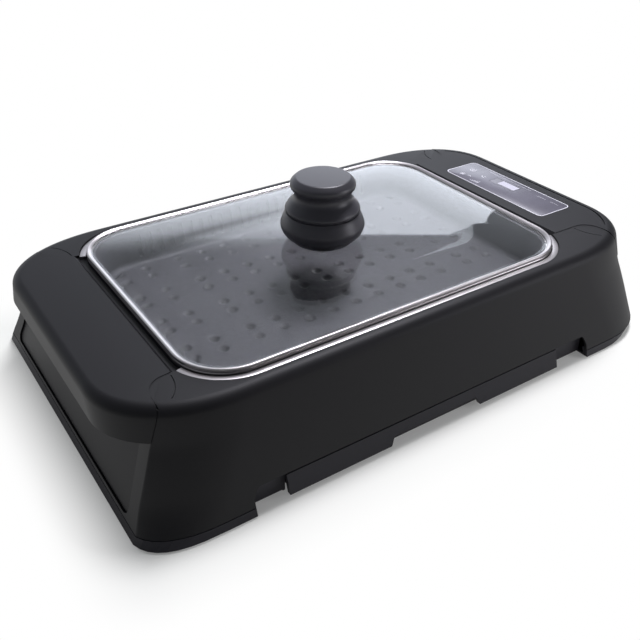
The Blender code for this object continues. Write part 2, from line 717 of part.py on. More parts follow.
def housing_mouth():
    """Cut the arch in the front wall in front of the drip tray."""
    top = MOUTH_TOP
    outline = [
        (MOUTH_LEFT, -OVERRUN),
        (MOUTH_RIGHT, -OVERRUN),
        (MOUTH_RIGHT, top - MOUTH_CHAMFER),
        (MOUTH_RIGHT - MOUTH_CHAMFER / 2.0, top),
        (MOUTH_LEFT + MOUTH_CHAMFER / 2.0, top),
        (MOUTH_LEFT, top - MOUTH_CHAMFER),
    ]
    back = -BODY_WIDTH / 2.0 + MOUTH_DEPTH
    return slab("front_arch", outline, -BODY_WIDTH / 2.0 - OVERRUN, back, "Y")


def exhaust_slots():
    """Cut the row of exhaust slots in the back wall behind the blower."""
    first = BLOWER_LEFT + EXHAUST_END_MARGIN
    pitch = (BLOWER_RIGHT - EXHAUST_END_MARGIN - first) / EXHAUST_COUNT
    foot = CHEEK_HEIGHT * EXHAUST_FOOT_SHARE
    top = CHEEK_HEIGHT * EXHAUST_TOP_SHARE
    solids = []
    for index in range(EXHAUST_COUNT):
        left = first + index * pitch
        outline = rectangle(left, left + EXHAUST_WIDTH, foot, top)
        start = BODY_WIDTH / 2.0 - SIDE_LEAN_SHARE * top - WALL - OVERRUN
        solids.append(slab("slot", outline, start, BODY_WIDTH / 2.0 + OVERRUN, "Y"))
    return joined("exhaust_slots", solids)


def column_places():
    """Return the middles of the four screw columns."""
    x = BODY_LENGTH / 2.0 - COLUMN_FROM_END
    y = BODY_WIDTH / 2.0 - COLUMN_FROM_SIDE
    return [(side * x, end * y) for side in (-1, 1) for end in (-1, 1)]


def column_foot():
    """Return the height at which a screw column stands on its cup."""
    return PAN_FOOT + SCREW_CUP_HEIGHT + FIT


def make_housing(finishes):
    """Moulded shell: leaning walls, rounded shoulder, stepped mouth for trims and plate."""
    rings = [body_ring(HOUSING_FOOT)]
    rings.extend(body_ring(SHOULDER_HEIGHT * share) for share in HOUSING_LEVEL_SHARES)
    rings.append(body_ring(SHOULDER_HEIGHT))
    rings.extend(shoulder_ring(angle, HOUSING_TOP) for angle in shoulder_angles())
    seat = trim_seat_height()
    rings.append(lid_ring(mouth_offset(), HOUSING_TOP))
    rings.append(lid_ring(mouth_offset(), seat))
    rings.append(lid_ring(TRIM_OFFSET, seat))
    rings.append(lid_ring(TRIM_OFFSET, LEDGE_HEIGHT))
    rings.append(lid_ring(-LEDGE_REACH, LEDGE_HEIGHT))
    rings.append(lid_ring(-LEDGE_REACH, LEDGE_HEIGHT - LEDGE_THICKNESS))
    rings.append(lid_ring(mouth_offset(), LEDGE_HEIGHT - LEDGE_THICKNESS))
    rings.append(lid_ring(CEILING_OFFSET, CEILING_HEIGHT))
    rings.append(body_ring(SHOULDER_HEIGHT - WALL, WALL))
    rings.extend(body_ring(SHOULDER_HEIGHT * share, WALL) for share in reversed(HOUSING_LEVEL_SHARES))
    rings.append(body_ring(HOUSING_FOOT, WALL))
    housing = loft("upper_housing", rings, finishes["housing"], closed=True)
    for x, y in column_places():
        column = rod("column", COLUMN_DIAMETER / 2.0, column_foot(), CEILING_HEIGHT + FIT, (x, y))
        combine(housing, column, "UNION")
        pilot = rod("pilot", SCREW_DIAMETER / 2.0 + FIT, 0.0, column_foot() + SCREW_LENGTH, (x, y))
        combine(housing, pilot)
    for side in (-1, 1):
        combine(housing, cover_recess(side))
        deep = -WALL - OVERRUN
        hole = panel_outline(FIT)
        opening = end_loft("panel_opening", side, [(hole, deep), (hole, OVERRUN)])
        combine(housing, opening)
    combine(housing, housing_mouth())
    combine(housing, exhaust_slots())
    combine(housing, deck_window())
    return housing


def deck_window():
    """Cut the housing's deck under the control panel, for the touch board."""
    left = DECK_WINDOW_RIGHT - DECK_WINDOW_LENGTH
    outline = rectangle(left, DECK_WINDOW_RIGHT, -DECK_WINDOW_WIDTH / 2.0, DECK_WINDOW_WIDTH / 2.0)
    return prism("deck_window", outline, SHOULDER_HEIGHT - OVERRUN, TOP_HEIGHT + OVERRUN)


def make_cover(name, side, finishes):
    """Handle cover: a top plate with a bevelled inner edge and a skirt round the end."""
    edge = abs(cover_edge(side))
    rings = []
    levels = [(TOP_HEIGHT - COVER_SKIRT, None), (SHOULDER_HEIGHT, None)]
    levels.extend((None, angle) for angle in shoulder_angles())
    for height, angle in levels:
        inset = 0.0
        if angle is not None:
            height = SHOULDER_HEIGHT + (TOP_HEIGHT - SHOULDER_HEIGHT) * math.sin(angle)
            inset = SHOULDER_ROUND * (1.0 - math.cos(angle))
        bevel = min(COVER_BEVEL, TOP_HEIGHT - height)
        half = [(edge - bevel, COVER_STRAIGHT_Y)]
        lobe = lobe_arc(0.0)
        half.extend(lobe[:-1])
        half.append((end_face(height) + FIT, lobe[-1][1]))
        start = crease_angle(side, height, inset, FIT)
        half.extend(corner_arc(side, height, inset, start, 0.0))
        rings.append(flat_ring(mirrored_half(half, side), height))
    cover = loft(name, rings, finishes["housing"])
    facet(cover)
    combine(cover, cover_hollow(side))
    return cover


def cover_hollow(side):
    """Cut everything under a cover's top plate inside its skirt."""
    plate_foot = TOP_HEIGHT - COVER_PLATE
    levels = [(TOP_HEIGHT - COVER_SKIRT - OVERRUN, COVER_WALL), (SHOULDER_HEIGHT, COVER_WALL)]
    for angle in shoulder_angles():
        height = SHOULDER_HEIGHT + (plate_foot - SHOULDER_HEIGHT) * math.sin(angle)
        levels.append((height, COVER_WALL * (2.0 - math.cos(angle))))
    rings = []
    for height, inset in levels:
        half = corner_arc(side, height, inset, math.pi / 2.0, 0.0)
        rings.append(flat_ring(mirrored_half(half, side), height))
    return loft("cover_hollow", rings)


def cover_groove(side):
    """Cut the fine channel that runs round the outer edge of the control end's cover."""
    inset = SHOULDER_ROUND + GROOVE_INSET
    outer = corner_arc(side, TOP_HEIGHT, inset, GROOVE_TURN, 0.0)
    inner = corner_arc(side, TOP_HEIGHT, inset + GROOVE_WIDTH, GROOVE_TURN, 0.0)
    outline = mirrored_half(outer, side)
    outline.extend(reversed(mirrored_half(inner, side)))
    return prism("cover_groove", outline, TOP_HEIGHT - GROOVE_DEPTH, TOP_HEIGHT + OVERRUN)


def overlay_outline(grow):
    """Return the control panel's outline."""
    half = OVERLAY_WIDTH / 2.0
    corners = rectangle(OVERLAY_LEFT - grow, OVERLAY_RIGHT + grow, -half - grow, half + grow)
    return rounded(corners, OVERLAY_CORNER + grow, LOBE_STEPS // 2)


def overlay_foot():
    """Return the height of the control panel's underside."""
    return TOP_HEIGHT + OVERLAY_PROUD - OVERLAY_THICKNESS


def window_outline(grow):
    """Return the display window's outline."""
    middle = OVERLAY_LEFT + (OVERLAY_RIGHT - OVERLAY_LEFT) * WINDOW_X_SHARE
    half_x = WINDOW_LENGTH / 2.0 + grow
    half_y = WINDOW_WIDTH / 2.0 + grow
    return rectangle(middle - half_x, middle + half_x, WINDOW_Y - half_y, WINDOW_Y + half_y)


def make_left_cover(finishes):
    """Plain handle cover at the left end."""
    return make_cover("left_handle_cover", -1, finishes)


def make_right_cover(finishes):
    """Handle cover at the control end, with the panel's recess and the display hole."""
    cover = make_cover("right_handle_cover", 1, finishes)
    combine(cover, cover_groove(1))
    high = TOP_HEIGHT + OVERRUN
    combine(cover, prism("overlay_recess", overlay_outline(FIT), overlay_foot() - FIT, high))
    hole = prism("display_hole", window_outline(-DISPLAY_CLEAR), SHOULDER_HEIGHT, high)
    combine(cover, hole)
    return cover


def make_trim(name, end, finishes):
    """Steel strip on the housing's lip that wraps round two corners of the lid."""
    outer = trim_arc(TRIM_OFFSET + TRIM_WIDTH)
    inner = trim_arc(TRIM_OFFSET)
    outline = [(x, end * y) for x, y in outer]
    outline.extend((x, end * y) for x, y in reversed(inner))
    low = trim_seat_height() + FIT
    return prism(name, outline, low, low + TRIM_THICKNESS, finishes["steel"])


def trim_arc(offset):
    """Return one edge of a trim at +Y, from its right end to its left end."""
    radius = LID_CORNER + offset
    centre_x = LID_LENGTH / 2.0 + offset - radius
    centre_y = LID_WIDTH / 2.0 + offset - radius
    half = []
    for step in range(CORNER_STEPS + 1):
        angle = math.pi / 2.0 * (1.0 - TRIM_END_SHARE + TRIM_END_SHARE * step / CORNER_STEPS)
        half.append((centre_x + radius * math.cos(angle), centre_y + radius * math.sin(angle)))
    points = [(LID_X + x, y) for x, y in half]
    points.extend((LID_X - x, y) for x, y in reversed(half))
    return points


def make_end_panel(name, side, finishes):
    """Panel set in the sloping end face, with a flange behind the wall."""
    back = -WALL - FIT
    layers = [
        (panel_outline(0.0), -PANEL_RECESS),
        (panel_outline(0.0), back),
        (panel_outline(PANEL_FLANGE), back),
        (panel_outline(PANEL_FLANGE), back - PANEL_THICKNESS),
    ]
    panel = end_loft(name, side, layers, finishes["housing"])
    if side > 0:
        hole = inlet_outline(FIT)
        combine(panel, end_loft("inlet_hole", side, [(hole, back - OVERRUN), (hole, OVERRUN)]))
    return panel


def inlet_outline(grow):
    """Return the power inlet's body outline in the right end face."""
    half = INLET_WIDTH / 2.0 + grow
    low = PANEL_FOOT + INLET_UP - INLET_HEIGHT / 2.0 - grow
    high = PANEL_FOOT + INLET_UP + INLET_HEIGHT / 2.0 + grow
    corners = rectangle(INLET_Y - half, INLET_Y + half, low, high)
    return rounded(corners, INLET_CORNER + grow, LOBE_STEPS // 2)


def pin_outline(index, grow):
    """Return the outline of one of the inlet's three pins."""
    across = INLET_Y + (index - 1) * PIN_SPREAD
    up = PANEL_FOOT + INLET_UP + (PIN_DROP if index == 1 else -PIN_DROP)
    half_x = PIN_WIDTH / 2.0 + grow
    half_y = PIN_HEIGHT / 2.0 + grow
    return rectangle(across - half_x, across + half_x, up - half_y, up + half_y)


def make_inlet(finishes):
    """Recessed appliance inlet: flange, body, hollow, and three pins through its back."""
    face = FIT - PANEL_RECESS
    layers = [
        (inlet_outline(-INLET_WALL), face - INLET_DEPTH + INLET_WALL),
        (inlet_outline(-INLET_WALL), face + INLET_FLANGE_THICKNESS),
        (inlet_outline(INLET_FLANGE), face + INLET_FLANGE_THICKNESS),
        (inlet_outline(INLET_FLANGE), face),
        (inlet_outline(0.0), face),
        (inlet_outline(0.0), face - INLET_DEPTH),
    ]
    inlet = end_loft("power_inlet", 1, layers, finishes["pan"])
    for index in range(3):
        hole = pin_outline(index, FIT)
        back = face - INLET_DEPTH
        combine(inlet, end_loft("pin_hole", 1, [(hole, back - OVERRUN), (hole, back + OVERRUN)]))
        pin = pin_outline(index, 0.0)
        layers = [(pin, back - PIN_TAIL), (pin, back + PIN_REACH)]
        end_loft("inlet_pin_" + str(index + 1), 1, layers, finishes["brass"])
    return inlet


def tucked_ring(height, inset=0.0):
    """Return the pan's outline with its right end tucked in under the housing."""
    ring = body_ring(height, inset)
    return [Vector((p.x - PAN_TUCK if p.x > 0.0 else p.x, p.y, p.z)) for p in ring]


def panel_room(side):
    """Cut the pan's lip where an end panel's flange stands."""
    room = panel_outline(PANEL_FLANGE + FIT)
    back = -WALL - 2.0 * FIT - PANEL_THICKNESS
    return end_loft("panel_room", side, [(room, back), (room, OVERRUN)])


def make_pan(finishes):
    """Base pan: foot strip, floor, tray bay, screw cups and board posts."""
    floor = PAN_FOOT + PAN_FLOOR
    rings = [
        tucked_ring(PAN_FOOT),
        body_ring(HOUSING_FOOT - FIT),
        body_ring(HOUSING_FOOT - FIT, WALL + FIT),
        body_ring(HOUSING_FOOT + PAN_LIP, WALL + FIT),
        body_ring(HOUSING_FOOT + PAN_LIP, WALL + FIT + PAN_FLOOR),
        tucked_ring(floor, WALL + FIT + PAN_FLOOR),
    ]
    pan = loft("base_pan", rings, finishes["pan"])
    for side in (-1, 1):
        combine(pan, panel_room(side))
    mouth = rectangle(MOUTH_LEFT, MOUTH_RIGHT, -BODY_WIDTH, -BODY_WIDTH / 2.0 + MOUTH_DEPTH)
    combine(pan, prism("pan_mouth", mouth, -OVERRUN, HOUSING_FOOT + PAN_LIP + OVERRUN))
    combine(pan, tray_bay(), "UNION")
    for x, y in column_places():
        cup_top = PAN_FOOT + SCREW_CUP_HEIGHT
        cup = rod("screw_cup", SCREW_CUP_DIAMETER / 2.0, PAN_FOOT + FIT, cup_top, (x, y))
        combine(pan, cup, "UNION")
        pocket = SCREW_CUP_DIAMETER / 2.0 - SCREW_CUP_WALL
        combine(pan, rod("pocket", pocket, -OVERRUN, cup_top - SCREW_CUP_WALL, (x, y)))
        combine(pan, rod("screw_hole", SCREW_HOLE_DIAMETER / 2.0, 0.0, column_foot() + OVERRUN, (x, y)))
    for x, y in foot_places():
        combine(pan, rod("foot_socket", FOOT_DIAMETER / 2.0 + FIT, -OVERRUN, FOOT_HEIGHT + FIT, (x, y)))
    for x, y in board_posts():
        combine(pan, rod("post", SCREW_DIAMETER, floor - FIT, POWER_BOARD_Z, (x, y)), "UNION")
    return pan


def tray_bay():
    """Three upright walls of the tray bay with a curtain on each side of its mouth."""
    half = FASCIA_LENGTH / 2.0 - BAY_WALL + FIT
    inner = max(half, TRAY_LENGTH / 2.0 + BAY_WALL)
    front = fascia_face(FASCIA_TOP) + FASCIA_THICKNESS + FIT
    low = PAN_FOOT + FIT
    outline = [
        (LID_X - inner - BAY_WALL, front),
        (LID_X - inner, front),
        (LID_X - inner, BAY_BACK),
        (LID_X + inner, BAY_BACK),
        (LID_X + inner, front),
        (LID_X + inner + BAY_WALL, front),
        (LID_X + inner + BAY_WALL, BAY_BACK + BAY_WALL),
        (LID_X - inner - BAY_WALL, BAY_BACK + BAY_WALL),
    ]
    bay = prism("tray_bay", outline, low, BAY_HEIGHT)
    for side, limit in ((-1, MOUTH_LEFT), (1, MOUTH_RIGHT)):
        near = LID_X + side * (inner + BAY_WALL / 2.0)
        corners = rectangle(min(near, limit), max(near, limit), front, front + CURTAIN_THICKNESS)
        combine(bay, prism("curtain", corners, CURTAIN_FOOT, BAY_HEIGHT), "UNION")
    return bay


def board_posts():
    """Return the middles of the posts under the power board."""
    reach_x = POWER_BOARD_LENGTH / 2.0 - SCREW_DIAMETER
    reach_y = POWER_BOARD_WIDTH / 2.0 - SCREW_DIAMETER
    return [(POWER_BOARD_X + i * reach_x, POWER_BOARD_Y + j * reach_y) for i in (-1, 1) for j in (-1, 1)]


def foot_places():
    """Return the middles of the four rubber feet."""
    x = BODY_LENGTH / 2.0 - FOOT_FROM_END
    y = BODY_WIDTH / 2.0 - FOOT_FROM_SIDE
    return [(side * x, end * y) for side in (-1, 1) for end in (-1, 1)]


def make_feet(finishes):
    """Four rubber feet, each in a socket of the pan."""
    for index, place in enumerate(foot_places()):
        name = "rubber_foot_" + str(index + 1)
        rod(name, FOOT_DIAMETER / 2.0, 0.0, FOOT_HEIGHT, place, finishes["rubber"])


def make_base_screws(finishes):
    """Four screws that hold the pan to the columns of the housing."""
    seat = PAN_FOOT + SCREW_CUP_HEIGHT - SCREW_CUP_WALL - FIT
    shank = SCREW_DIAMETER / 2.0
    head = SCREW_HEAD_DIAMETER / 2.0
    for index, place in enumerate(column_places()):
        profile = [
            (head, seat - SCREW_HEAD_HEIGHT),
            (head, seat),
            (shank, seat),
            (shank, seat + SCREW_LENGTH - SCREW_HEAD_HEIGHT),
        ]
        revolve("base_screw_" + str(index + 1), profile, place, SMALL_STEPS, finishes["steel"])


def tray_outline(inset):
    """Return the drip tray's outline."""
    left = LID_X - TRAY_LENGTH / 2.0 + inset
    right = LID_X + TRAY_LENGTH / 2.0 - inset
    front = fascia_face(FASCIA_TOP) + FASCIA_THICKNESS / 2.0 + inset
    corners = rectangle(left, right, front, TRAY_BACK - inset)
    return rounded(corners, TRAY_CORNER - inset, LOBE_STEPS // 2)


def fascia_face(height):
    """Return the y of the tray's front face, which follows the housing's leaning wall."""
    return -BODY_WIDTH / 2.0 + SIDE_LEAN_SHARE * height + FASCIA_SETBACK


def make_tray(frame, finishes):
    """Drip tray: a shallow tub with a leaning front and a finger recess under it."""
    top = TRAY_FOOT + TRAY_HEIGHT
    rings = [
        flat_ring(tray_outline(0.0), TRAY_FOOT),
        flat_ring(tray_outline(0.0), top),
        flat_ring(tray_outline(TRAY_WALL), top),
        flat_ring(tray_outline(TRAY_WALL), TRAY_FOOT + TRAY_WALL),
    ]
    tray = loft("drip_tray", rings, finishes["pan"], frame)
    combine(tray, tray_fascia(frame), "UNION")
    return tray


def tray_fascia(frame):
    """Leaning front plate of the tray, its foot raised in the middle for the fingers."""
    half = FASCIA_LENGTH / 2.0
    finger = FINGER_LENGTH / 2.0
    chamfer = FINGER_CHAMFER
    profile = [
        (-half, FASCIA_FOOT),
        (-finger - chamfer, FASCIA_FOOT),
        (-finger, FINGER_HEIGHT),
        (finger, FINGER_HEIGHT),
        (finger + chamfer, FASCIA_FOOT),
        (half, FASCIA_FOOT),
        (half, FASCIA_TOP),
        (-half, FASCIA_TOP),
    ]
    front = [Vector((LID_X + x, fascia_face(z), z)) for x, z in profile]
    back = [Vector((LID_X + x, fascia_face(z) + FASCIA_THICKNESS, z)) for x, z in profile]
    return loft("fascia", [front, back], parent=frame)


def make_plate(frame, finishes):
    """Grill plate: rim, leaning wall with a row of slots, cove, and a dimpled floor."""
    rim_foot = PLATE_RIM_TOP - PLATE_RIM_THICKNESS
    under = PLATE_FLOOR - PLATE_WALL
    mouth = -PLATE_MOUTH_INSET
    foot = -PLATE_FLOOR_INSET
    rings = [
        lid_ring(foot - PLATE_COVE, PLATE_FLOOR),
        lid_ring(foot, PLATE_FLOOR + PLATE_COVE),
        lid_ring(mouth, PLATE_RIM_TOP),
        lid_ring(0.0, PLATE_RIM_TOP),
        lid_ring(0.0, rim_foot),
        lid_ring(mouth + PLATE_WALL, rim_foot),
        lid_ring(foot + PLATE_WALL, PLATE_FLOOR + PLATE_COVE / 2.0),
        lid_ring(foot - PLATE_COVE / 2.0, under),
    ]
    plate = loft("grill_plate", rings, finishes["coating"], frame)
    combine(plate, plate_dimples(frame))
    combine(plate, plate_slots(frame))
    drain_x = LID_X + DIMPLE_INNER_COLUMNS * dimple_pitch() + DIMPLE_WIDE_PITCH / 2.0
    drain_y = -(LID_WIDTH / 2.0 + foot - PLATE_COVE) + DRAIN_WIDTH
    corners = rectangle(
        drain_x - DRAIN_LENGTH / 2.0,
        drain_x + DRAIN_LENGTH / 2.0,
        drain_y - DRAIN_WIDTH / 2.0,
        drain_y + DRAIN_WIDTH / 2.0,
    )
    drain = rounded(corners, DRAIN_WIDTH / 2.0 - FIT, LOBE_STEPS // 2)
    combine(plate, prism("drain", drain, under - OVERRUN, PLATE_FLOOR + OVERRUN, parent=frame))
    return plate


def dimple_pitch():
    """Return the spacing of the dimple columns that fills the floor's length."""
    reach = LID_LENGTH / 2.0 - PLATE_FLOOR_INSET - PLATE_COVE - DIMPLE_END_MARGIN
    return (reach - DIMPLE_WIDE_PITCH) / (DIMPLE_INNER_COLUMNS + 1)


def dimple_columns():
    """Return the x of each column of dimples."""
    pitch = dimple_pitch()
    inner = [index * pitch for index in range(-DIMPLE_INNER_COLUMNS, DIMPLE_INNER_COLUMNS + 1)]
    first = DIMPLE_INNER_COLUMNS * pitch + DIMPLE_WIDE_PITCH
    outer = [side * (first + step * pitch) for side in (-1, 1) for step in range(2)]
    return [LID_X + x for x in inner + outer]


def dimple_rows():
    """Return the y of each dimple; the rows come in pairs."""
    reach = LID_WIDTH / 2.0 - PLATE_FLOOR_INSET - PLATE_COVE - DIMPLE_SIDE_MARGIN
    middles = [index * reach / DIMPLE_ROWS for index in range(-DIMPLE_ROWS, DIMPLE_ROWS + 1)]
    return [middle + half * DIMPLE_PAIR_PITCH / 2.0 for middle in middles for half in (-1, 1)]


def plate_dimples(frame):
    """Pointed pits that cut the dimples into the plate's floor."""
    solids = []
    for x in dimple_columns():
        for y in dimple_rows():
            rim = circle(DIMPLE_DIAMETER / 2.0, DIMPLE_SIDES, (x, y))
            pit = circle(DIMPLE_DIAMETER / DIMPLE_SIDES, DIMPLE_SIDES, (x, y))
            rings = [flat_ring(pit, PLATE_FLOOR - DIMPLE_DEPTH), flat_ring(rim, PLATE_FLOOR + DIMPLE_DEPTH)]
            solids.append(loft("pit", rings))
    pits = joined("plate_dimples", solids)
    pits.parent = frame
    pits.matrix_parent_inverse = Matrix.Translation(-frame.location)
    return pits


def plate_slots(frame):
    """Upright slots through the plate's back wall that let the smoke out."""
    solids = []
    start = LID_WIDTH / 2.0 - PLATE_FLOOR_INSET - OVERRUN
    reach = LID_LENGTH / 2.0 - LID_CORNER - SLOT_END_MARGIN
    pitch = 2.0 * reach / (SLOT_COUNT - 1)
    foot = PLATE_FLOOR + SLOT_FOOT_RISE
    top = PLATE_RIM_TOP - SLOT_TOP_DROP
    for index in range(SLOT_COUNT):
        middle = LID_X - reach + index * pitch
        outline = rectangle(middle - SLOT_WIDTH / 2.0, middle + SLOT_WIDTH / 2.0, foot, top)
        solids.append(slab("slot", outline, start, LID_WIDTH / 2.0, "Y"))
    slots = joined("plate_slots", solids)
    slots.parent = frame
    slots.matrix_parent_inverse = Matrix.Translation(-frame.location)
    return slots


def make_lid_rim(frame, finishes):
    """Rolled steel channel round the lid."""
    foot = RIM_TOP - RIM_HEIGHT
    section = [
        (0.0, foot),
        (0.0, RIM_TOP - RIM_SHEET),
        (-RIM_SHEET, RIM_TOP),
        (-RIM_TOP_FLANGE, RIM_TOP),
        (-RIM_TOP_FLANGE, RIM_TOP - RIM_SHEET),
        (-RIM_SHEET, RIM_TOP - RIM_SHEET),
        (-RIM_SHEET, foot + RIM_SHEET),
        (-RIM_FOOT_FLANGE, foot + RIM_SHEET),
        (-RIM_FOOT_FLANGE, foot),
    ]
    rings = [lid_ring(offset, height) for offset, height in section]
    return loft("lid_rim", rings, finishes["steel"], frame, closed=True)


def glass_top(share):
    """Return the height of the domed glass at a share of the way out from the middle."""
    edge = RIM_TOP - RIM_SHEET - FIT
    crown = GLASS_RING_SHARES[0]
    return edge + GLASS_RISE * max(0.0, 1.0 - (share / crown) ** 2)


def make_glass(frame, finishes):
    """Domed pane with a hole for the knob's screw."""
    flat_share = GLASS_RING_SHARES[0]
    edge = lid_outline(-GLASS_EDGE_INSET)
    top = [flat_ring(edge, glass_top(1.0))]
    for share in GLASS_RING_SHARES[1:]:
        outline = [(LID_X + (x - LID_X) * share, y * share) for x, y in edge]
        top.append(flat_ring(outline, glass_top(share)))
    start = [(LID_X + (x - LID_X) * flat_share, y * flat_share) for x, y in edge]
    top.insert(1, flat_ring(start, glass_top(flat_share)))
    step = 2.0 * math.pi / len(edge)
    hole = []
    radius = GLASS_HOLE_DIAMETER / 2.0
    for index in range(len(edge)):
        turn = step * (index + 1.0 / 2.0)
        hole.append((LID_X + radius * math.cos(turn), radius * math.sin(turn)))
    top.append(flat_ring(hole, glass_top(0.0)))
    drop = Vector((0.0, 0.0, GLASS_THICKNESS))
    under = [[point - drop for point in ring] for ring in reversed(top)]
    return loft("lid_glass", top + under, finishes["glass"], frame, closed=True)


def make_knob(frame, finishes):
    """Turned grip and bell, their silicone seat, and the screw with its washer."""
    centre = (LID_X, 0.0)
    seat = glass_top(0.0) + FIT
    bore = KNOB_BORE_DIAMETER / 2.0
    hollow = KNOB_HOLLOW_DIAMETER / 2.0
    bell = KNOB_BELL_DIAMETER / 2.0
    seat_radius = KNOB_SEAT_DIAMETER / 2.0
    groove = KNOB_GROOVE_DIAMETER / 2.0
    ceiling = KNOB_FOOT + KNOB_HOLLOW_DEPTH
    profile = [(bore, ceiling), (hollow, ceiling), (hollow, KNOB_FOOT), (seat_radius, KNOB_FOOT)]
    for step in range(1, LOBE_STEPS + 1):
        turn = math.pi / 2.0 * step / LOBE_STEPS
        radius = seat_radius + (bell - seat_radius) * math.sin(turn)
        profile.append((radius, KNOB_BELL_HEIGHT - KNOB_BELL_LOW_RISE * math.cos(turn)))
    for step in range(1, LOBE_STEPS + 1):
        turn = math.pi / 2.0 * step / LOBE_STEPS
        radius = groove + (bell - groove) * math.cos(turn)
        profile.append((radius, KNOB_BELL_HEIGHT + KNOB_BELL_HIGH_RISE * math.sin(turn)))
    profile.append((bore, KNOB_SPLIT))
    revolve("knob_bell", profile, centre, ROUND_STEPS, finishes["knob"], frame, closed=True)
    make_grip(frame, finishes, centre, bore)
    ring = [
        (hollow, seat),
        (seat_radius - FIT, seat),
        (seat_radius - FIT, seat + WASHER_THICKNESS),
        (hollow, seat + WASHER_THICKNESS),
    ]
    revolve("knob_seal", ring, centre, ROUND_STEPS, finishes["rubber"], frame, closed=True)
    under = glass_top(0.0) - GLASS_THICKNESS - FIT
    washer = [
        (bore, under - WASHER_THICKNESS),
        (WASHER_DIAMETER / 2.0, under - WASHER_THICKNESS),
        (WASHER_DIAMETER / 2.0, under),
        (bore, under),
    ]
    revolve("knob_washer", washer, centre, ROUND_STEPS, finishes["steel"], frame, closed=True)
    head_top = under - WASHER_THICKNESS - FIT
    shank = KNOB_SCREW_DIAMETER / 2.0
    head = KNOB_SCREW_HEAD_DIAMETER / 2.0
    screw = [
        (head, head_top - KNOB_SCREW_HEAD_HEIGHT),
        (head, head_top),
        (shank, head_top),
        (shank, KNOB_SPLIT + KNOB_SCREW_REACH / 2.0),
    ]
    revolve("knob_screw", screw, centre, SMALL_STEPS, finishes["steel"], frame)


def make_grip(frame, finishes, centre, bore):
    """Upper part of the knob: shoulder, waist and flat cap, with a blind screw bore."""
    shoulder = KNOB_SHOULDER_DIAMETER / 2.0
    neck = KNOB_NECK_DIAMETER / 2.0
    cap = KNOB_CAP_DIAMETER / 2.0
    flat = KNOB_CAP_FLAT_DIAMETER / 2.0
    groove = KNOB_GROOVE_DIAMETER / 2.0
    foot = KNOB_SPLIT + FIT
    bore_top = KNOB_SPLIT + KNOB_SCREW_REACH / 2.0 + FIT
    lower = foot + (KNOB_SHOULDER_HEIGHT - foot) / 2.0
    profile = [(bore, bore_top), (bore, foot), (groove - FIT, foot), (shoulder, lower)]
    for step in range(LOBE_STEPS + 1):
        turn = math.pi / 2.0 * step / LOBE_STEPS
        radius = shoulder - (shoulder - neck) * math.sin(turn)
        profile.append((radius, KNOB_NECK_HEIGHT - KNOB_WAIST_RISE * math.cos(turn)))
    for step in range(LOBE_STEPS // 2 + 1):
        turn = math.pi / 2.0 * step / (LOBE_STEPS // 2)
        radius = neck + (cap - neck) * math.sin(turn)
        profile.append((radius, KNOB_CAP_EDGE - KNOB_CAP_RISE * math.cos(turn)))
    for step in range(1, LOBE_STEPS // 2 + 1):
        turn = math.pi / 2.0 * step / (LOBE_STEPS // 2)
        radius = flat + (cap - flat) * math.cos(turn)
        profile.append((radius, KNOB_CAP_EDGE + KNOB_CROWN_RISE * math.sin(turn)))
    revolve("knob_grip", profile, centre, ROUND_STEPS, finishes["knob"], frame)


def shield_outline(inset):
    """Return the heat shield's outline."""
    left = LID_X - LID_LENGTH / 2.0 + SHIELD_END_INSET + inset
    right = LID_X + LID_LENGTH / 2.0 - SHIELD_END_INSET - inset
    front = -LID_WIDTH / 2.0 + SHIELD_FRONT_INSET + inset
    back = LID_WIDTH / 2.0 - SHIELD_BACK_INSET - inset
    corners = rectangle(left, right, front, back)
    return rounded(corners, SHIELD_CORNER - inset, LOBE_STEPS // 2)


def shield_floor():
    """Return the height of the heat shield's upper face."""
    return BAY_HEIGHT + FIT + SHIELD_SHEET


def make_shield(finishes):
    """Reflector pan on the walls of the tray bay, under the element."""
    low = BAY_HEIGHT + FIT
    top = low + (element_height() - ELEMENT_DIAMETER / 2.0 - low) * SHIELD_HEIGHT_SHARE
    rings = [
        flat_ring(shield_outline(0.0), low),
        flat_ring(shield_outline(0.0), top),
        flat_ring(shield_outline(SHIELD_SHEET), top),
        flat_ring(shield_outline(SHIELD_SHEET), shield_floor()),
    ]
    return loft("heat_shield", rings, finishes["shield"])


def element_height():
    """Return the height of the element's middle line, just under the plate."""
    return PLATE_FLOOR - PLATE_WALL - FIT - ELEMENT_DIAMETER / 2.0


def element_route():
    """Return the element's path: four runs joined by three round bends."""
    left = LID_X - ELEMENT_LEFT_REACH
    right = LID_X + ELEMENT_RIGHT_REACH
    side_radius = (ELEMENT_OUTER_Y - ELEMENT_INNER_Y) / 2.0
    side_middle = (ELEMENT_OUTER_Y + ELEMENT_INNER_Y) / 2.0
    route = [(LID_X + ELEMENT_TERMINAL_REACH, -ELEMENT_OUTER_Y)]
    for middle, radius, x, way in (
        (-side_middle, side_radius, left + side_radius, -1.0),
        (0.0, ELEMENT_INNER_Y, right - ELEMENT_INNER_Y, 1.0),
        (side_middle, side_radius, left + side_radius, -1.0),
    ):
        for step in range(ELEMENT_BEND_STEPS + 1):
            turn = math.pi * step / ELEMENT_BEND_STEPS
            route.append((x + way * radius * math.sin(turn), middle - radius * math.cos(turn)))
    route.append((LID_X + ELEMENT_TERMINAL_REACH, ELEMENT_OUTER_Y))
    return route


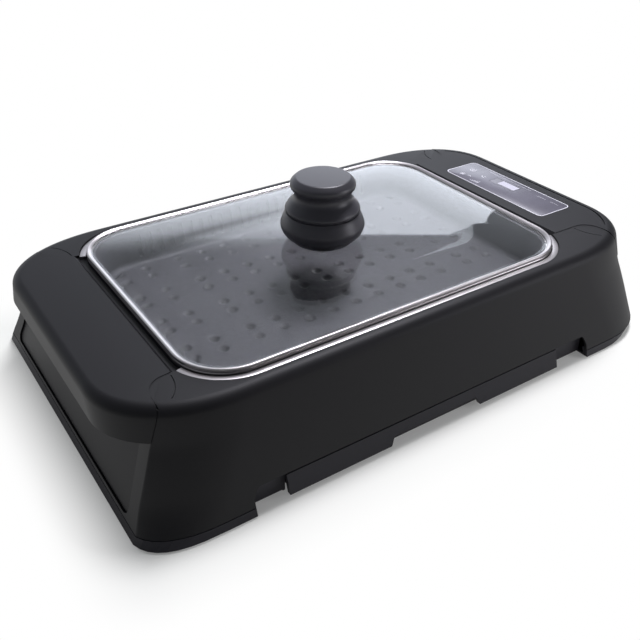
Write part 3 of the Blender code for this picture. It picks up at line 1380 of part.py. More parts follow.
def make_element(finishes):
    """Tubular heating element under the plate."""
    curve = bpy.data.curves.new("heating_element", "CURVE")
    curve.dimensions = "3D"
    curve.bevel_depth = ELEMENT_DIAMETER / 2.0
    curve.bevel_resolution = 2
    curve.use_fill_caps = True
    route = element_route()
    spline = curve.splines.new("POLY")
    spline.points.add(len(route) - 1)
    for point, (x, y) in zip(spline.points, route):
        point.co = (x, y, element_height(), 1.0)
    curve.materials.append(finishes["element"])
    element = bpy.data.objects.new("heating_element", curve)
    bpy.context.scene.collection.objects.link(element)
    return element


def make_element_clips(finishes):
    """Three sheet bridges that carry the element above the shield."""
    top = element_height() - ELEMENT_DIAMETER / 2.0 - FIT
    foot = shield_floor() + FIT
    half = CLIP_SPREAD / 2.0
    sheet = CLIP_SHEET
    outline = [
        (-half, foot),
        (-half + sheet, foot),
        (-half + sheet, top - sheet),
        (half - sheet, top - sheet),
        (half - sheet, foot),
        (half, foot),
        (half, top),
        (-half, top),
    ]
    for index, share in enumerate(CLIP_PLACES_SHARE):
        left = LID_X + share * ELEMENT_LEFT_REACH - CLIP_WIDTH / 2.0
        slab("element_clip_" + str(index + 1), outline, left, left + CLIP_WIDTH, "X", finishes["shield"])


def make_terminals(finishes):
    """Ceramic sleeves on the element's cold ends and the notched bracket that holds them."""
    z = element_height()
    end = LID_X + ELEMENT_TERMINAL_REACH
    high = end - TERMINAL_LENGTH / 2.0
    low = high - TERMINAL_LENGTH
    for index, side in enumerate((-1, 1)):
        name = "terminal_sleeve_" + str(index + 1)
        inner = ELEMENT_DIAMETER / 2.0 + FIT
        y = side * ELEMENT_OUTER_Y
        tube_along_x(name, TERMINAL_DIAMETER / 2.0, inner, low, high, y, z, finishes["ceramic"])
    bracket_x = (low + high) / 2.0
    foot = PAN_FOOT + PAN_FLOOR + FIT
    half = ELEMENT_OUTER_Y + TERMINAL_DIAMETER
    outline = rectangle(-half, half, foot, z)
    left = bracket_x - CLIP_SHEET / 2.0
    bracket = slab("terminal_bracket", outline, left, left + CLIP_SHEET, "X", finishes["shield"])
    for side in (-1, 1):
        notch = circle(TERMINAL_DIAMETER / 2.0 + FIT, SMALL_STEPS, (side * ELEMENT_OUTER_Y, z))
        combine(bracket, slab("notch", notch, bracket_x - OVERRUN, bracket_x + OVERRUN, "X"))
    return bracket


def make_sensors(finishes):
    """Spring probe against the plate and the safety cut-out on the shield."""
    centre = (LID_X + CLIP_SPREAD / 4.0, 0.0)
    top = PLATE_FLOOR - PLATE_WALL - FIT
    stem = PROBE_STEM_DIAMETER / 2.0
    head = PROBE_DIAMETER / 2.0
    foot = shield_floor() + FIT
    profile = [(stem, foot), (stem, top - PROBE_HEAD_HEIGHT), (head, top - PROBE_HEAD_HEIGHT), (head, top)]
    revolve("temperature_probe", profile, centre, SMALL_STEPS, finishes["steel"])
    centre = (LID_X - CLIP_SPREAD / 4.0, 0.0)
    rod("thermal_cutout", CUTOUT_DIAMETER / 2.0, foot, foot + CUTOUT_HEIGHT, centre, finishes["part"])


def make_impeller(frame, finishes):
    """Cross-flow fan wheel: a ring of curved blades between two discs, and its shaft."""
    outer = IMPELLER_DIAMETER / 2.0
    inner = outer * IMPELLER_BORE_SHARE
    bore = SHAFT_DIAMETER / 2.0 + FIT
    left = BLOWER_LEFT + CHEEK_SHEET + SCROLL_GAP
    right = BLOWER_RIGHT - SCROLL_GAP
    material = finishes["fan"]
    discs = []
    for low in (left, right - IMPELLER_DISC):
        high = low + IMPELLER_DISC
        discs.append(tube_along_x("disc", outer, bore, low, high, BLOWER_Y, BLOWER_Z, material, frame))
    wheel = discs[0]
    wheel.name = "fan_impeller"
    combine(wheel, discs[1], "UNION")
    blades = []
    for index in range(IMPELLER_BLADES):
        turn = 2.0 * math.pi * index / IMPELLER_BLADES
        outline = []
        for side in (-1, 1):
            points = []
            for share in (0.0, 0.5, 1.0):
                radius = inner + (outer - BLADE_THICKNESS - inner) * share
                bow = BLADE_CURVE * (1.0 - (2.0 * share - 1.0) ** 2) + side * BLADE_THICKNESS / 2.0
                y = BLOWER_Y + radius * math.cos(turn) - bow * math.sin(turn)
                z = BLOWER_Z + radius * math.sin(turn) + bow * math.cos(turn)
                points.append((y, z))
            outline.extend(points if side < 0 else reversed(points))
        blades.append(slab("blade", outline, left + FIT, right - FIT, "X"))
    blades = joined("fan_blades", blades)
    blades.parent = frame
    blades.matrix_parent_inverse = Matrix.Translation(-frame.location)
    combine(wheel, blades, "UNION")
    shaft = [
        [Vector((place, y, z)) for y, z in circle(SHAFT_DIAMETER / 2.0, SMALL_STEPS, (BLOWER_Y, BLOWER_Z))]
        for place in (BLOWER_LEFT - BEARING_LENGTH / 2.0, BLOWER_RIGHT + CHEEK_SHEET + MOTOR_LENGTH / 2.0)
    ]
    loft("fan_shaft", shaft, finishes["steel"], frame)
    return wheel


def scroll_outline():
    """Return the section of the blower's scroll: a widening arc that runs out to the back wall."""
    first = math.radians(SCROLL_START)
    last = math.radians(SCROLL_END)
    start = IMPELLER_DIAMETER / 2.0 + SCROLL_GAP / 2.0
    grow = SCROLL_GAP
    inner = []
    outer = []
    for step in range(ROUND_STEPS // 2 + 1):
        share = step / (ROUND_STEPS // 2)
        turn = first + (last - first) * share
        radius = start + grow * share
        inner.append((BLOWER_Y + radius * math.cos(turn), BLOWER_Z + radius * math.sin(turn)))
        radius += SCROLL_SHEET
        outer.append((BLOWER_Y + radius * math.cos(turn), BLOWER_Z + radius * math.sin(turn)))
    reach = BLOWER_Y + CHEEK_DEPTH / 2.0
    inner.append((reach, inner[-1][1]))
    outer.append((reach, outer[-1][1]))
    return inner + list(reversed(outer))


def make_blower(finishes):
    """Scroll, tongue, two cheeks, bush and motor of the smoke blower."""
    left = BLOWER_LEFT + CHEEK_SHEET + FIT
    right = BLOWER_RIGHT - FIT
    slab("blower_scroll", scroll_outline(), left, right, "X", finishes["shield"])
    reach = BLOWER_Y + CHEEK_DEPTH / 2.0
    clear = IMPELLER_DIAMETER / 2.0 + SCROLL_GAP / 2.0
    lip = BLOWER_Y + clear * math.cos(math.radians(TONGUE_TURN))
    rise = BLOWER_Z + clear * math.sin(math.radians(TONGUE_TURN))
    tongue = [
        (lip, rise),
        (reach, rise + SCROLL_GAP),
        (reach, rise + SCROLL_GAP + SCROLL_SHEET),
        (lip + SCROLL_SHEET, rise + SCROLL_SHEET),
        (lip + SCROLL_SHEET, rise + SCROLL_GAP * 2.0),
        (lip, rise + SCROLL_GAP * 2.0),
    ]
    slab("blower_tongue", tongue, left, right, "X", finishes["shield"])
    half = CHEEK_DEPTH / 2.0
    for name, place in (("blower_cheek_left", BLOWER_LEFT), ("blower_cheek_right", BLOWER_RIGHT)):
        outline = rectangle(BLOWER_Y - half, BLOWER_Y + half, CHEEK_FOOT, CHEEK_TOP)
        cheek = slab(name, outline, place, place + CHEEK_SHEET, "X", finishes["shield"])
        hole = circle(BEARING_DIAMETER / 2.0 + FIT, ROUND_STEPS, (BLOWER_Y, BLOWER_Z))
        combine(cheek, slab("shaft_hole", hole, place - OVERRUN, place + OVERRUN, "X"))
    low = BLOWER_LEFT + CHEEK_SHEET - BEARING_LENGTH
    bore = SHAFT_DIAMETER / 2.0 + RUNNING_FIT
    outer = BEARING_DIAMETER / 2.0
    high = BLOWER_LEFT + CHEEK_SHEET
    tube_along_x("fan_bearing", outer, bore, low, high, BLOWER_Y, BLOWER_Z, finishes["brass"])
    make_motor(finishes, bore)


def make_motor(finishes, bore):
    """Fan motor, its nose in the right cheek and its blind bore round the shaft."""
    face = BLOWER_RIGHT + CHEEK_SHEET + FIT
    nose = MOTOR_NOSE_DIAMETER / 2.0
    body = MOTOR_DIAMETER / 2.0
    sections = [
        (bore, face + MOTOR_LENGTH / 2.0 + SCROLL_GAP),
        (bore, BLOWER_RIGHT + FIT),
        (nose, BLOWER_RIGHT + FIT),
        (nose, face),
        (body, face),
        (body, face + MOTOR_LENGTH),
    ]
    rings = []
    for radius, place in sections:
        rings.append([Vector((place, y, z)) for y, z in circle(radius, ROUND_STEPS, (BLOWER_Y, BLOWER_Z))])
    loft("fan_motor", rings, finishes["part"])


def make_controls(finishes):
    """Panel film, display window, display module and touch board."""
    low = overlay_foot()
    high = TOP_HEIGHT + OVERLAY_PROUD
    overlay = prism("control_overlay", overlay_outline(0.0), low, high, finishes["overlay"])
    combine(overlay, prism("window_hole", window_outline(FIT), SHOULDER_HEIGHT, TOP_HEIGHT + OVERRUN))
    prism("display_window", window_outline(0.0), low, high, finishes["window"])
    board_top = TOP_HEIGHT - TOUCH_BOARD_DROP + BOARD_THICKNESS
    right = DECK_WINDOW_RIGHT - DISPLAY_CLEAR
    half = TOUCH_BOARD_WIDTH / 2.0
    corners = rectangle(right - TOUCH_BOARD_LENGTH, right, -half, half)
    prism("touch_board", corners, board_top - BOARD_THICKNESS, board_top, finishes["board"])
    module = [(min(x, right), y) for x, y in window_outline(-DISPLAY_CLEAR - FIT)]
    prism("display_module", module, board_top + FIT, overlay_foot() - FIT * 2.0, finishes["window"])


def make_power_board(finishes):
    """Power board on its posts, with its relay, capacitor and transformer."""
    low = POWER_BOARD_Z + FIT
    top = low + BOARD_THICKNESS
    corners = rectangle(
        POWER_BOARD_X - POWER_BOARD_LENGTH / 2.0,
        POWER_BOARD_X + POWER_BOARD_LENGTH / 2.0,
        POWER_BOARD_Y - POWER_BOARD_WIDTH / 2.0,
        POWER_BOARD_Y + POWER_BOARD_WIDTH / 2.0,
    )
    prism("power_board", corners, low, top, finishes["board"])
    stand = top + FIT
    step = POWER_BOARD_WIDTH / 4.0
    relay = rectangle(
        POWER_BOARD_X - RELAY_LENGTH / 2.0,
        POWER_BOARD_X + RELAY_LENGTH / 2.0,
        POWER_BOARD_Y - step - RELAY_WIDTH / 2.0,
        POWER_BOARD_Y - step + RELAY_WIDTH / 2.0,
    )
    prism("power_relay", relay, stand, stand + RELAY_HEIGHT, finishes["part"])
    centre = (POWER_BOARD_X, POWER_BOARD_Y)
    high = stand + CAPACITOR_HEIGHT
    rod("filter_capacitor", CAPACITOR_DIAMETER / 2.0, stand, high, centre, finishes["part"])
    half = TRANSFORMER_SIZE / 2.0
    core = rectangle(
        POWER_BOARD_X - half,
        POWER_BOARD_X + half,
        POWER_BOARD_Y + step - half,
        POWER_BOARD_Y + step + half,
    )
    prism("transformer", core, stand, stand + TRANSFORMER_SIZE, finishes["element"])


def main():
    """Build every sub-part of the grill."""
    clear_scene()
    finishes = make_finishes()
    make_pan(finishes)
    make_housing(finishes)
    make_left_cover(finishes)
    make_right_cover(finishes)
    make_end_panel("left_end_panel", -1, finishes)
    make_end_panel("right_end_panel", 1, finishes)
    make_trim("front_trim", -1, finishes)
    make_trim("back_trim", 1, finishes)
    make_inlet(finishes)
    make_feet(finishes)
    make_base_screws(finishes)
    make_shield(finishes)
    make_element(finishes)
    make_element_clips(finishes)
    make_terminals(finishes)
    make_sensors(finishes)
    make_blower(finishes)
    make_controls(finishes)
    make_power_board(finishes)
    fan_axis = joint_frame("fan_axis", (BLOWER_LEFT, BLOWER_Y, BLOWER_Z))
    make_impeller(fan_axis, finishes)
    tray_slide = joint_frame("tray_slide", (LID_X, fascia_face(FASCIA_TOP), TRAY_FOOT))
    make_tray(tray_slide, finishes)
    plate_lift = joint_frame("plate_lift", (LID_X, 0.0, PLATE_FLOOR))
    make_plate(plate_lift, finishes)
    lid_lift = joint_frame("lid_lift", (LID_X, 0.0, RIM_TOP))
    make_lid_rim(lid_lift, finishes)
    make_glass(lid_lift, finishes)
    make_knob(lid_lift, finishes)


main()
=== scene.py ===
"""Looks of a countertop electric grill with a glass lid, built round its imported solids.

Metres, +Z up.  X runs along the grill with the control panel at +X, and the front is -Y.  Every new
piece is a surface worked out with numpy; inner pieces keep their solids and get a real finish.
"""

from __future__ import annotations

import logging
import math
from dataclasses import dataclass, field
from enum import Enum
from functools import reduce

import bmesh
import bpy
import numpy as np
from mathutils import Matrix

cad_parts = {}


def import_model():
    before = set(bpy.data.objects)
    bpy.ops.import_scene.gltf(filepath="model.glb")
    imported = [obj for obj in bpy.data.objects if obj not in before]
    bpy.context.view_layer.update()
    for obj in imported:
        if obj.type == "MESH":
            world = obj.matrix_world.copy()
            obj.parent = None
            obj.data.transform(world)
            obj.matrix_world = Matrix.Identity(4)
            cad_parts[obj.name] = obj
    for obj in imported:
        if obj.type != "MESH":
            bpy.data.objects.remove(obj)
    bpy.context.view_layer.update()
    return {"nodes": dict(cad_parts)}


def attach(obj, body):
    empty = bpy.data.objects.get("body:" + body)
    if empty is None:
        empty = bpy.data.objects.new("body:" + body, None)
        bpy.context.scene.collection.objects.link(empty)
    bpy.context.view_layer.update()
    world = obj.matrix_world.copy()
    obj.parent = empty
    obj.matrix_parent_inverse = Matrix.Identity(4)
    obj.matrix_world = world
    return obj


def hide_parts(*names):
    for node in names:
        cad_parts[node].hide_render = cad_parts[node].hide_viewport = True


LOG = logging.getLogger("grill")
MM = 0.001
# Edges sharper than this, in degrees, stay sharp
SHARP = 35.0
# Spaces along the straight runs of an outline: back and front, and ends
LONG_STEPS, SHORT_STEPS = 20, 12
Socket = bpy.types.NodeSocket


class Role(Enum):
    """CAD body on which a piece rides."""

    BODY = "grill_body"
    FAN = "fan"
    TRAY = "tray"
    PLATE = "plate"
    LID = "lid"


class Side(Enum):
    """End of the grill, by the sign of its X."""

    LEFT = -1
    RIGHT = 1


# Nodes and finishes


def linear(code: str) -> tuple[float, float, float, float]:
    """Turn an sRGB hex colour into linear light.

    Args:
        code: six hex digits.

    Returns:
        Red, green, blue and an alpha of one.
    """
    values = [int(code[place : place + 2], 16) / 255.0 for place in (0, 2, 4)]
    turned = [v / 12.92 if v <= 0.04045 else ((v + 0.055) / 1.055) ** 2.4 for v in values]
    return (turned[0], turned[1], turned[2], 1.0)


def feed(tree: bpy.types.NodeTree, node: bpy.types.Node, inputs: dict) -> None:
    """Set a node's inputs, or link them to other nodes' outputs.

    Args:
        tree: the node's tree.
        node: the node.
        inputs: a value or another node's output for each input, by name or number.
    """
    for key, value in inputs.items():
        if isinstance(value, bpy.types.NodeSocket):
            tree.links.new(value, node.inputs[key])
        else:
            node.inputs[key].default_value = value


def add(tree: bpy.types.NodeTree, kind: str, inputs: dict | None = None, **settings: object) -> bpy.types.Node:
    """Add a node with its settings, its values and its links.

    Args:
        tree: the tree that takes the node.
        kind: the node's type name, without ShaderNode.
        inputs: a value or another node's output for each input, by name or number.
        **settings: properties of the node.

    Returns:
        The new node.
    """
    node = tree.nodes.new("ShaderNode" + kind)
    for key, value in settings.items():
        setattr(node, key, value)
    feed(tree, node, inputs or {})
    return node


def noise(tree: bpy.types.NodeTree, scale: float, detail: float = 2.0, stretch: tuple = (1.0, 1.0, 1.0)) -> Socket:
    """Return a noise in the object's own coordinates.

    Args:
        tree: the tree that takes the nodes.
        scale: cells in a metre.
        detail: number of finer layers.
        stretch: scale of each axis, below one to draw the noise out along it.

    Returns:
        The noise's output.
    """
    place = add(tree, "TexCoord").outputs["Object"]
    if stretch != (1.0, 1.0, 1.0):
        place = add(tree, "Mapping", {"Vector": place, "Scale": stretch}).outputs["Vector"]
    return add(tree, "TexNoise", {"Vector": place, "Scale": scale, "Detail": detail}).outputs["Fac"]


def ramp(tree: bpy.types.NodeTree, factor: Socket, *stops: tuple[float, str]) -> Socket:
    """Return a colour ramp through the given stops.

    Args:
        tree: the tree that takes the node.
        factor: the value that the ramp reads.
        *stops: pairs of position and hex colour.

    Returns:
        The ramp's colour output.
    """
    node = add(tree, "ValToRGB", {"Fac": factor})
    elements = node.color_ramp.elements
    for place, (position, colour) in enumerate(stops):
        stop = elements[place] if place < 2 else elements.new(position)
        stop.position = position
        stop.color = linear(colour)
    return node.outputs["Color"]


def span(
    tree: bpy.types.NodeTree,
    value: Socket,
    low: float | Socket,
    high: float,
    start: float | Socket = 0.0,
    stop: float | Socket = 1.0,
    kind: str = "LINEAR",
) -> Socket:
    """Return a value mapped from one range to another and held at both ends.

    Args:
        tree: the tree that takes the node.
        value: the value to map.
        low: result at the start.
        high: result at the stop.
        start: value that gives low.
        stop: value that gives high.
        kind: interpolation between them.

    Returns:
        The mapped value's output.
    """
    inputs = {"Value": value, "From Min": start, "From Max": stop, "To Min": low, "To Max": high}
    return add(tree, "MapRange", inputs, interpolation_type=kind).outputs["Result"]


def calc(tree: bpy.types.NodeTree, operation: str, *values: float | Socket) -> Socket:
    """Return what a math node makes of its values."""
    return add(tree, "Math", dict(enumerate(values)), operation=operation).outputs[0]


def bump(tree: bpy.types.NodeTree, height: Socket, distance: float, strength: float) -> Socket:
    """Return a normal bumped by a height."""
    return add(tree, "Bump", {"Height": height, "Distance": distance, "Strength": strength}).outputs["Normal"]


@dataclass(frozen=True)
class Finish:
    """A surface: what it is made of and how it was made."""

    name: str
    slot: str

    def shade(self, tree: bpy.types.NodeTree, shader: bpy.types.Node) -> None:
        """Set the shader's sockets and patterns; each finish has its own.

        Args:
            tree: the material's tree.
            shader: its shader.
        """
        raise NotImplementedError

    def build(self) -> bpy.types.Material:
        """Return the material, made once under its name.

        Returns:
            The material.
        """
        known = bpy.data.materials.get(self.name)
        if known is not None:
            return known
        material = bpy.data.materials.new(self.name)
        material.use_nodes = True
        tree = material.node_tree
        self.shade(tree, tree.nodes["Principled BSDF"])
        return material


@dataclass(frozen=True)
class MouldedPlastic(Finish):
    """Injection-moulded plastic from a spark-eroded mould: fine grain, soft uneven sheen."""

    colour: str = "101012"
    tint: str = "151417"
    roughness: float = 0.52
    spread: float = 0.05
    grain: float = 1.1 * MM
    depth: float = 0.05 * MM
    specular: float = 0.26

    def shade(self, tree: bpy.types.NodeTree, shader: bpy.types.Node) -> None:
        """Mix two near colours by broad clouds, and bump the surface by the mould's grain.

        Args:
            tree: the material's tree.
            shader: its shader.
        """
        clouds, grain = noise(tree, 9.0, 3.0), noise(tree, 1.0 / self.grain)
        colour = ramp(tree, clouds, (0.3, self.colour), (0.72, self.tint))
        mixed = {"Factor": 0.16, "A": colour, "B": grain}
        sockets = {
            "Base Color": add(tree, "Mix", mixed, data_type="RGBA", blend_type="OVERLAY").outputs["Result"],
            "Roughness": span(tree, clouds, self.roughness - self.spread, self.roughness + self.spread),
            "Specular IOR Level": self.specular,
            "Normal": bump(tree, grain, self.depth, 0.5),
        }
        feed(tree, shader, sockets)


@dataclass(frozen=True)
class SheetMetal(Finish):
    """Bright sheet metal: long rolling or brushing marks that stretch along one axis."""

    colour: str = "c6c2c2"
    dull: str = "aba7a6"
    roughness: float = 0.33
    spread: float = 0.05
    mark: float = 0.25 * MM
    stretch: tuple[float, float, float] = (0.02, 1.0, 1.0)
    depth: float = 0.01 * MM

    def shade(self, tree: bpy.types.NodeTree, shader: bpy.types.Node) -> None:
        """Stretch a fine noise into marks for the colour, the roughness and the bump.

        Args:
            tree: the material's tree.
            shader: its shader.
        """
        marks = noise(tree, 1.0 / self.mark, stretch=self.stretch)
        sockets = {
            "Base Color": ramp(tree, marks, (0.25, self.dull), (0.55, self.colour)),
            "Roughness": span(tree, marks, self.roughness + self.spread, self.roughness - self.spread),
            "Metallic": 1.0,
            "Normal": bump(tree, marks, self.depth, 0.4),
        }
        feed(tree, shader, sockets)


@dataclass(frozen=True)
class NonstickCoating(Finish):
    """Sprayed nonstick coating on cast aluminium: dark grey with fine mineral flecks and a low metal sheen; dull in the
    dimples, where painted shade makes it nearly black.
    """

    colour: str = "26242a"
    fleck: str = "333137"
    # Painted shade: the near-black colour laid into the dimples
    pit: str = "19181b"
    roughness: float = 0.5
    fleck_size: float = 0.9 * MM

    def shade(self, tree: bpy.types.NodeTree, shader: bpy.types.Node) -> None:
        """Scatter pale cells in the coating and ripple it with the sprayed film's orange peel.

        Args:
            tree: the material's tree.
            shader: its shader.
        """
        place = add(tree, "TexCoord").outputs["Object"]
        cells = add(tree, "TexVoronoi", {"Vector": place, "Scale": 1.0 / self.fleck_size}).outputs["Distance"]
        peel = noise(tree, 260.0)
        # The pit mask paints shade into the dimples: it darkens their colour, and also takes away metal and roughens
        # them
        pit = add(tree, "Attribute", attribute_name="pit").outputs["Fac"]
        mixed = {"Factor": pit, "A": ramp(tree, cells, (0.08, self.fleck), (0.2, self.colour))}
        mixed["B"] = linear(self.pit)
        dull = calc(tree, "MAXIMUM", peel, pit)
        sockets = {
            "Base Color": add(tree, "Mix", mixed, data_type="RGBA").outputs["Result"],
            "Metallic": span(tree, pit, 0.3, 0.0),
            "Roughness": span(tree, dull, self.roughness - 0.06, self.roughness + 0.3),
            "Normal": bump(tree, peel, 0.03 * MM, 0.4),
        }
        feed(tree, shader, sockets)


@dataclass(frozen=True)
class TemperedGlass(Finish):
    """Clear tempered soda-lime glass: a faint grey-green body and a polished, faintly wavy face."""

    tint: str = "eef1f0"
    ripple: float = 60.0 * MM

    def shade(self, tree: bpy.types.NodeTree, shader: bpy.types.Node) -> None:
        """Transmit light, with the slow waves that tempering leaves.

        Args:
            tree: the material's tree.
            shader: its shader.
        """
        sockets = {
            "Base Color": linear(self.tint),
            "Roughness": span(tree, noise(tree, 34.0, 4.0), 0.0, 0.008),
            "Transmission Weight": 1.0,
            "IOR": 1.5,
            "Normal": bump(tree, noise(tree, 1.0 / self.ripple, 1.0), 0.02 * MM, 0.2),
        }
        feed(tree, shader, sockets)


@dataclass(frozen=True)
class TubeSheath(Finish):
    """Heated steel tube: oxidised in brown and blue-grey bands."""

    def shade(self, tree: bpy.types.NodeTree, shader: bpy.types.Node) -> None:
        """Blend oxide colours by a broad noise and roughen them by a fine one.

        Args:
            tree: the material's tree.
            shader: its shader.
        """
        sockets = {
            "Base Color": ramp(tree, noise(tree, 18.0, 3.0), (0.3, "3a3331"), (0.5, "55504c"), (0.7, "3d4048")),
            "Roughness": span(tree, noise(tree, 900.0), 0.35, 0.6),
            "Metallic": 0.85,
        }
        feed(tree, shader, sockets)


@dataclass(frozen=True)
class CircuitBoard(Finish):
    """Glass fibre board under green lacquer, with copper tracks showing as paler lines."""

    def shade(self, tree: bpy.types.NodeTree, shader: bpy.types.Node) -> None:
        """Draw tracks as the thin edges of square cells 6 mm apart.

        Args:
            tree: the material's tree.
            shader: its shader.
        """
        place = add(tree, "TexCoord").outputs["Object"]
        inputs = {"Vector": place, "Scale": 1.0 / (6.0 * MM), "Randomness": 0.35}
        cells = add(tree, "TexVoronoi", inputs, distance="MANHATTAN", feature="DISTANCE_TO_EDGE")
        colour = ramp(tree, cells.outputs["Distance"], (0.05, "3f8a54"), (0.09, "17482a"))
        feed(tree, shader, {"Base Color": colour, "Roughness": 0.35})


@dataclass(frozen=True)
class PanelFilm(Finish):
    """Polyester panel film printed from behind: grey with a faint satin grain."""

    colour: str = "6c6a75"
    shade_colour: str = "5f5d67"
    roughness: float = 0.30

    def shade(self, tree: bpy.types.NodeTree, shader: bpy.types.Node) -> None:
        """Cloud the print very slightly and grain the film's face.

        Args:
            tree: the material's tree.
            shader: its shader.
        """
        colour = ramp(tree, noise(tree, 22.0), (0.35, self.shade_colour), (0.65, self.colour))
        sheen = span(tree, noise(tree, 2400.0, 1.0), self.roughness - 0.08, self.roughness + 0.1)
        feed(tree, shader, {"Base Color": colour, "Roughness": sheen})


@dataclass(frozen=True)
class PrintInk(Finish):
    """Pale ink screened on the film, a little uneven in cover."""

    colour: str = "f0eff4"
    thin: str = "dcdae2"

    def shade(self, tree: bpy.types.NodeTree, shader: bpy.types.Node) -> None:
        """Vary the ink's cover by a fine noise.

        Args:
            tree: the material's tree.
            shader: its shader.
        """
        colour = ramp(tree, noise(tree, 700.0), (0.35, self.thin), (0.6, self.colour))
        feed(tree, shader, {"Base Color": colour, "Roughness": 0.5})


@dataclass(frozen=True)
class Stoneware(Finish):
    """Unglazed steatite: chalky white with fine pores."""

    def shade(self, tree: bpy.types.NodeTree, shader: bpy.types.Node) -> None:
        """Darken the pores of a fine noise.

        Args:
            tree: the material's tree.
            shader: its shader.
        """
        colour = ramp(tree, noise(tree, 1200.0, 3.0), (0.35, "bdb6a8"), (0.55, "e6e1d6"))
        feed(tree, shader, {"Base Color": colour, "Roughness": 0.7})


@dataclass(frozen=True)
class Finishes:
    """Every finish of the grill."""

    # Charcoal ABS with a fine mould grain: soft grey sheen that fades into near black
    housing: Finish = MouldedPlastic("moulded_charcoal_abs", "housing")
    # The same plastic, rougher, painted lighter than the housing: painted light on the bands of the base pan, drip tray
    # and inlet
    pan: Finish = MouldedPlastic("moulded_abs_painted_light", "pan", "242328", "2a292e", 0.55)
    # Compression-moulded phenolic: smooth, dark, waxy highlights
    phenolic: Finish = MouldedPlastic(
        "moulded_black_phenolic", "knob", "38373c", "414046", 0.42, 0.04, 0.7 * MM, 0.02 * MM, 0.5
    )
    # Silicone rubber: no gloss at all
    rubber: Finish = MouldedPlastic("silicone_rubber", "rubber", "2a2a2c", "333335", 0.85, 0.05, 0.5 * MM)
    # Stainless steel, bright rolled and lightly brushed along the rim
    stainless: Finish = SheetMetal("brushed_stainless_steel", "steel")
    # Hot-dip aluminised sheet: greyer, with a coarser rolled pattern
    aluminised: Finish = SheetMetal("aluminised_sheet", "shield", "b9babc", "8e8f92", 0.34, 0.08, 0.6 * MM)
    # Nickel-plated brass contacts
    plated: Finish = SheetMetal("nickel_plated_brass", "brass", "d9cba6", "b8a678", 0.25, 0.05, 0.3 * MM)
    # Aluminium fan wheel
    fan_sheet: Finish = SheetMetal("pressed_aluminium", "fan", "c6c7c9", "a2a3a6", 0.3, 0.06, 0.5 * MM)
    # Sprayed coating on the plate: dull dark grey with fine pale flecks
    coating: Finish = NonstickCoating("sprayed_nonstick", "coating")
    # Clear pane: sharp mirror images with a faint waver
    glass: Finish = TemperedGlass("tempered_glass", "glass")
    # Steel sheath of the element: brown and blue-grey heat bands
    sheath: Finish = TubeSheath("oxidised_tube_sheath", "element")
    # Green lacquered boards with paler tracks
    board: Finish = CircuitBoard("lacquered_circuit_board", "board")
    # Glass-filled nylon cases of relays and motors
    case: Finish = MouldedPlastic("glass_filled_nylon", "part", "20232b", "2b2f38", 0.5)
    # Satin grey film of the control panel
    film: Finish = PanelFilm("printed_panel_film", "overlay")
    # Smoked display window, smoother and paler than the film
    window: Finish = PanelFilm("smoked_display_window", "window", "77757d", "6a6870", 0.18)
    # Pale lines and signs on the film
    ink: Finish = PrintInk("screened_ink", "overlay")
    # Bright segment area of the display behind its window
    lamp_ink: Finish = PrintInk("display_diffuser", "window", "cccad6", "c2c0cc")
    # Chalky white sleeves of the element's cold ends
    ceramic: Finish = Stoneware("steatite_ceramic", "ceramic")


# Surfaces on grids


@dataclass
class Shell:
    """Points and faces of one mesh."""

    points: np.ndarray
    faces: list = field(default_factory=list)

    def plus(self, other: "Shell") -> "Shell":
        """Return this shell and another as one.

        Args:
            other: the shell to add.

        Returns:
            One shell with the points and faces of both.
        """
        start = len(self.points)
        moved = [tuple(np.asarray(face) + start) for face in other.faces]
        return Shell(np.concatenate([self.points, other.points]), list(self.faces) + moved)


def grid_shell(points: np.ndarray, close_rows: bool = False, close_columns: bool = True, caps: bool = True) -> Shell:
    """Skin a grid of points with quads.

    The quad at row r and column c joins points (r, c), (r, c+1), (r+1, c+1) and (r+1, c), with both
    numbers taken round the grid where it closes.

    Args:
        points: rows by columns by three.
        close_rows: the last row joins the first.
        close_columns: the last column joins the first.
        caps: put one face on the first row and one on the last.

    Returns:
        The skinned shell.
    """
    rows, columns = points.shape[:2]
    r = np.arange(rows if close_rows else rows - 1)[:, None]
    c = np.arange(columns if close_columns else columns - 1)[None, :]
    after = (c + 1) % columns
    above = (r + 1) % rows
    quads = np.stack([r * columns + c, r * columns + after, above * columns + after, above * columns + c], axis=-1)
    faces = [tuple(quad) for quad in quads.reshape(-1, 4).tolist()]
    if caps and not close_rows:
        faces.append(tuple(range(columns))[::-1])
        faces.append(tuple(range((rows - 1) * columns, rows * columns)))
    return Shell(points.reshape(-1, 3), faces)


def lift(outline: np.ndarray, height: float) -> np.ndarray:
    """Return an outline of (x, y) points at one height."""
    return np.column_stack([outline, np.full(len(outline), height)])


def arc(radius: float, start: float, stop: float, steps: int, centre: tuple[float, float] = (0.0, 0.0)) -> np.ndarray:
    """Return points on an arc: centre plus radius times (cosine, sine) of evenly spaced angles.

    Args:
        radius: the arc's radius.
        start: first angle, in degrees.
        stop: last angle, in degrees.
        steps: number of spaces between points.
        centre: the arc's centre.

    Returns:
        The points, steps plus one by two.
    """
    turn = np.radians(np.linspace(start, stop, steps + 1))
    return np.column_stack([centre[0] + radius * np.cos(turn), centre[1] + radius * np.sin(turn)])


def unit(vector: np.ndarray) -> np.ndarray:
    """Return a vector drawn to a length of one."""
    return vector / np.linalg.norm(vector)


def between(first: np.ndarray, last: np.ndarray, steps: int) -> np.ndarray:
    """Return the evenly spaced points strictly between two points."""
    share = (np.arange(1, steps) / steps)[:, None]
    return first + (last - first) * share


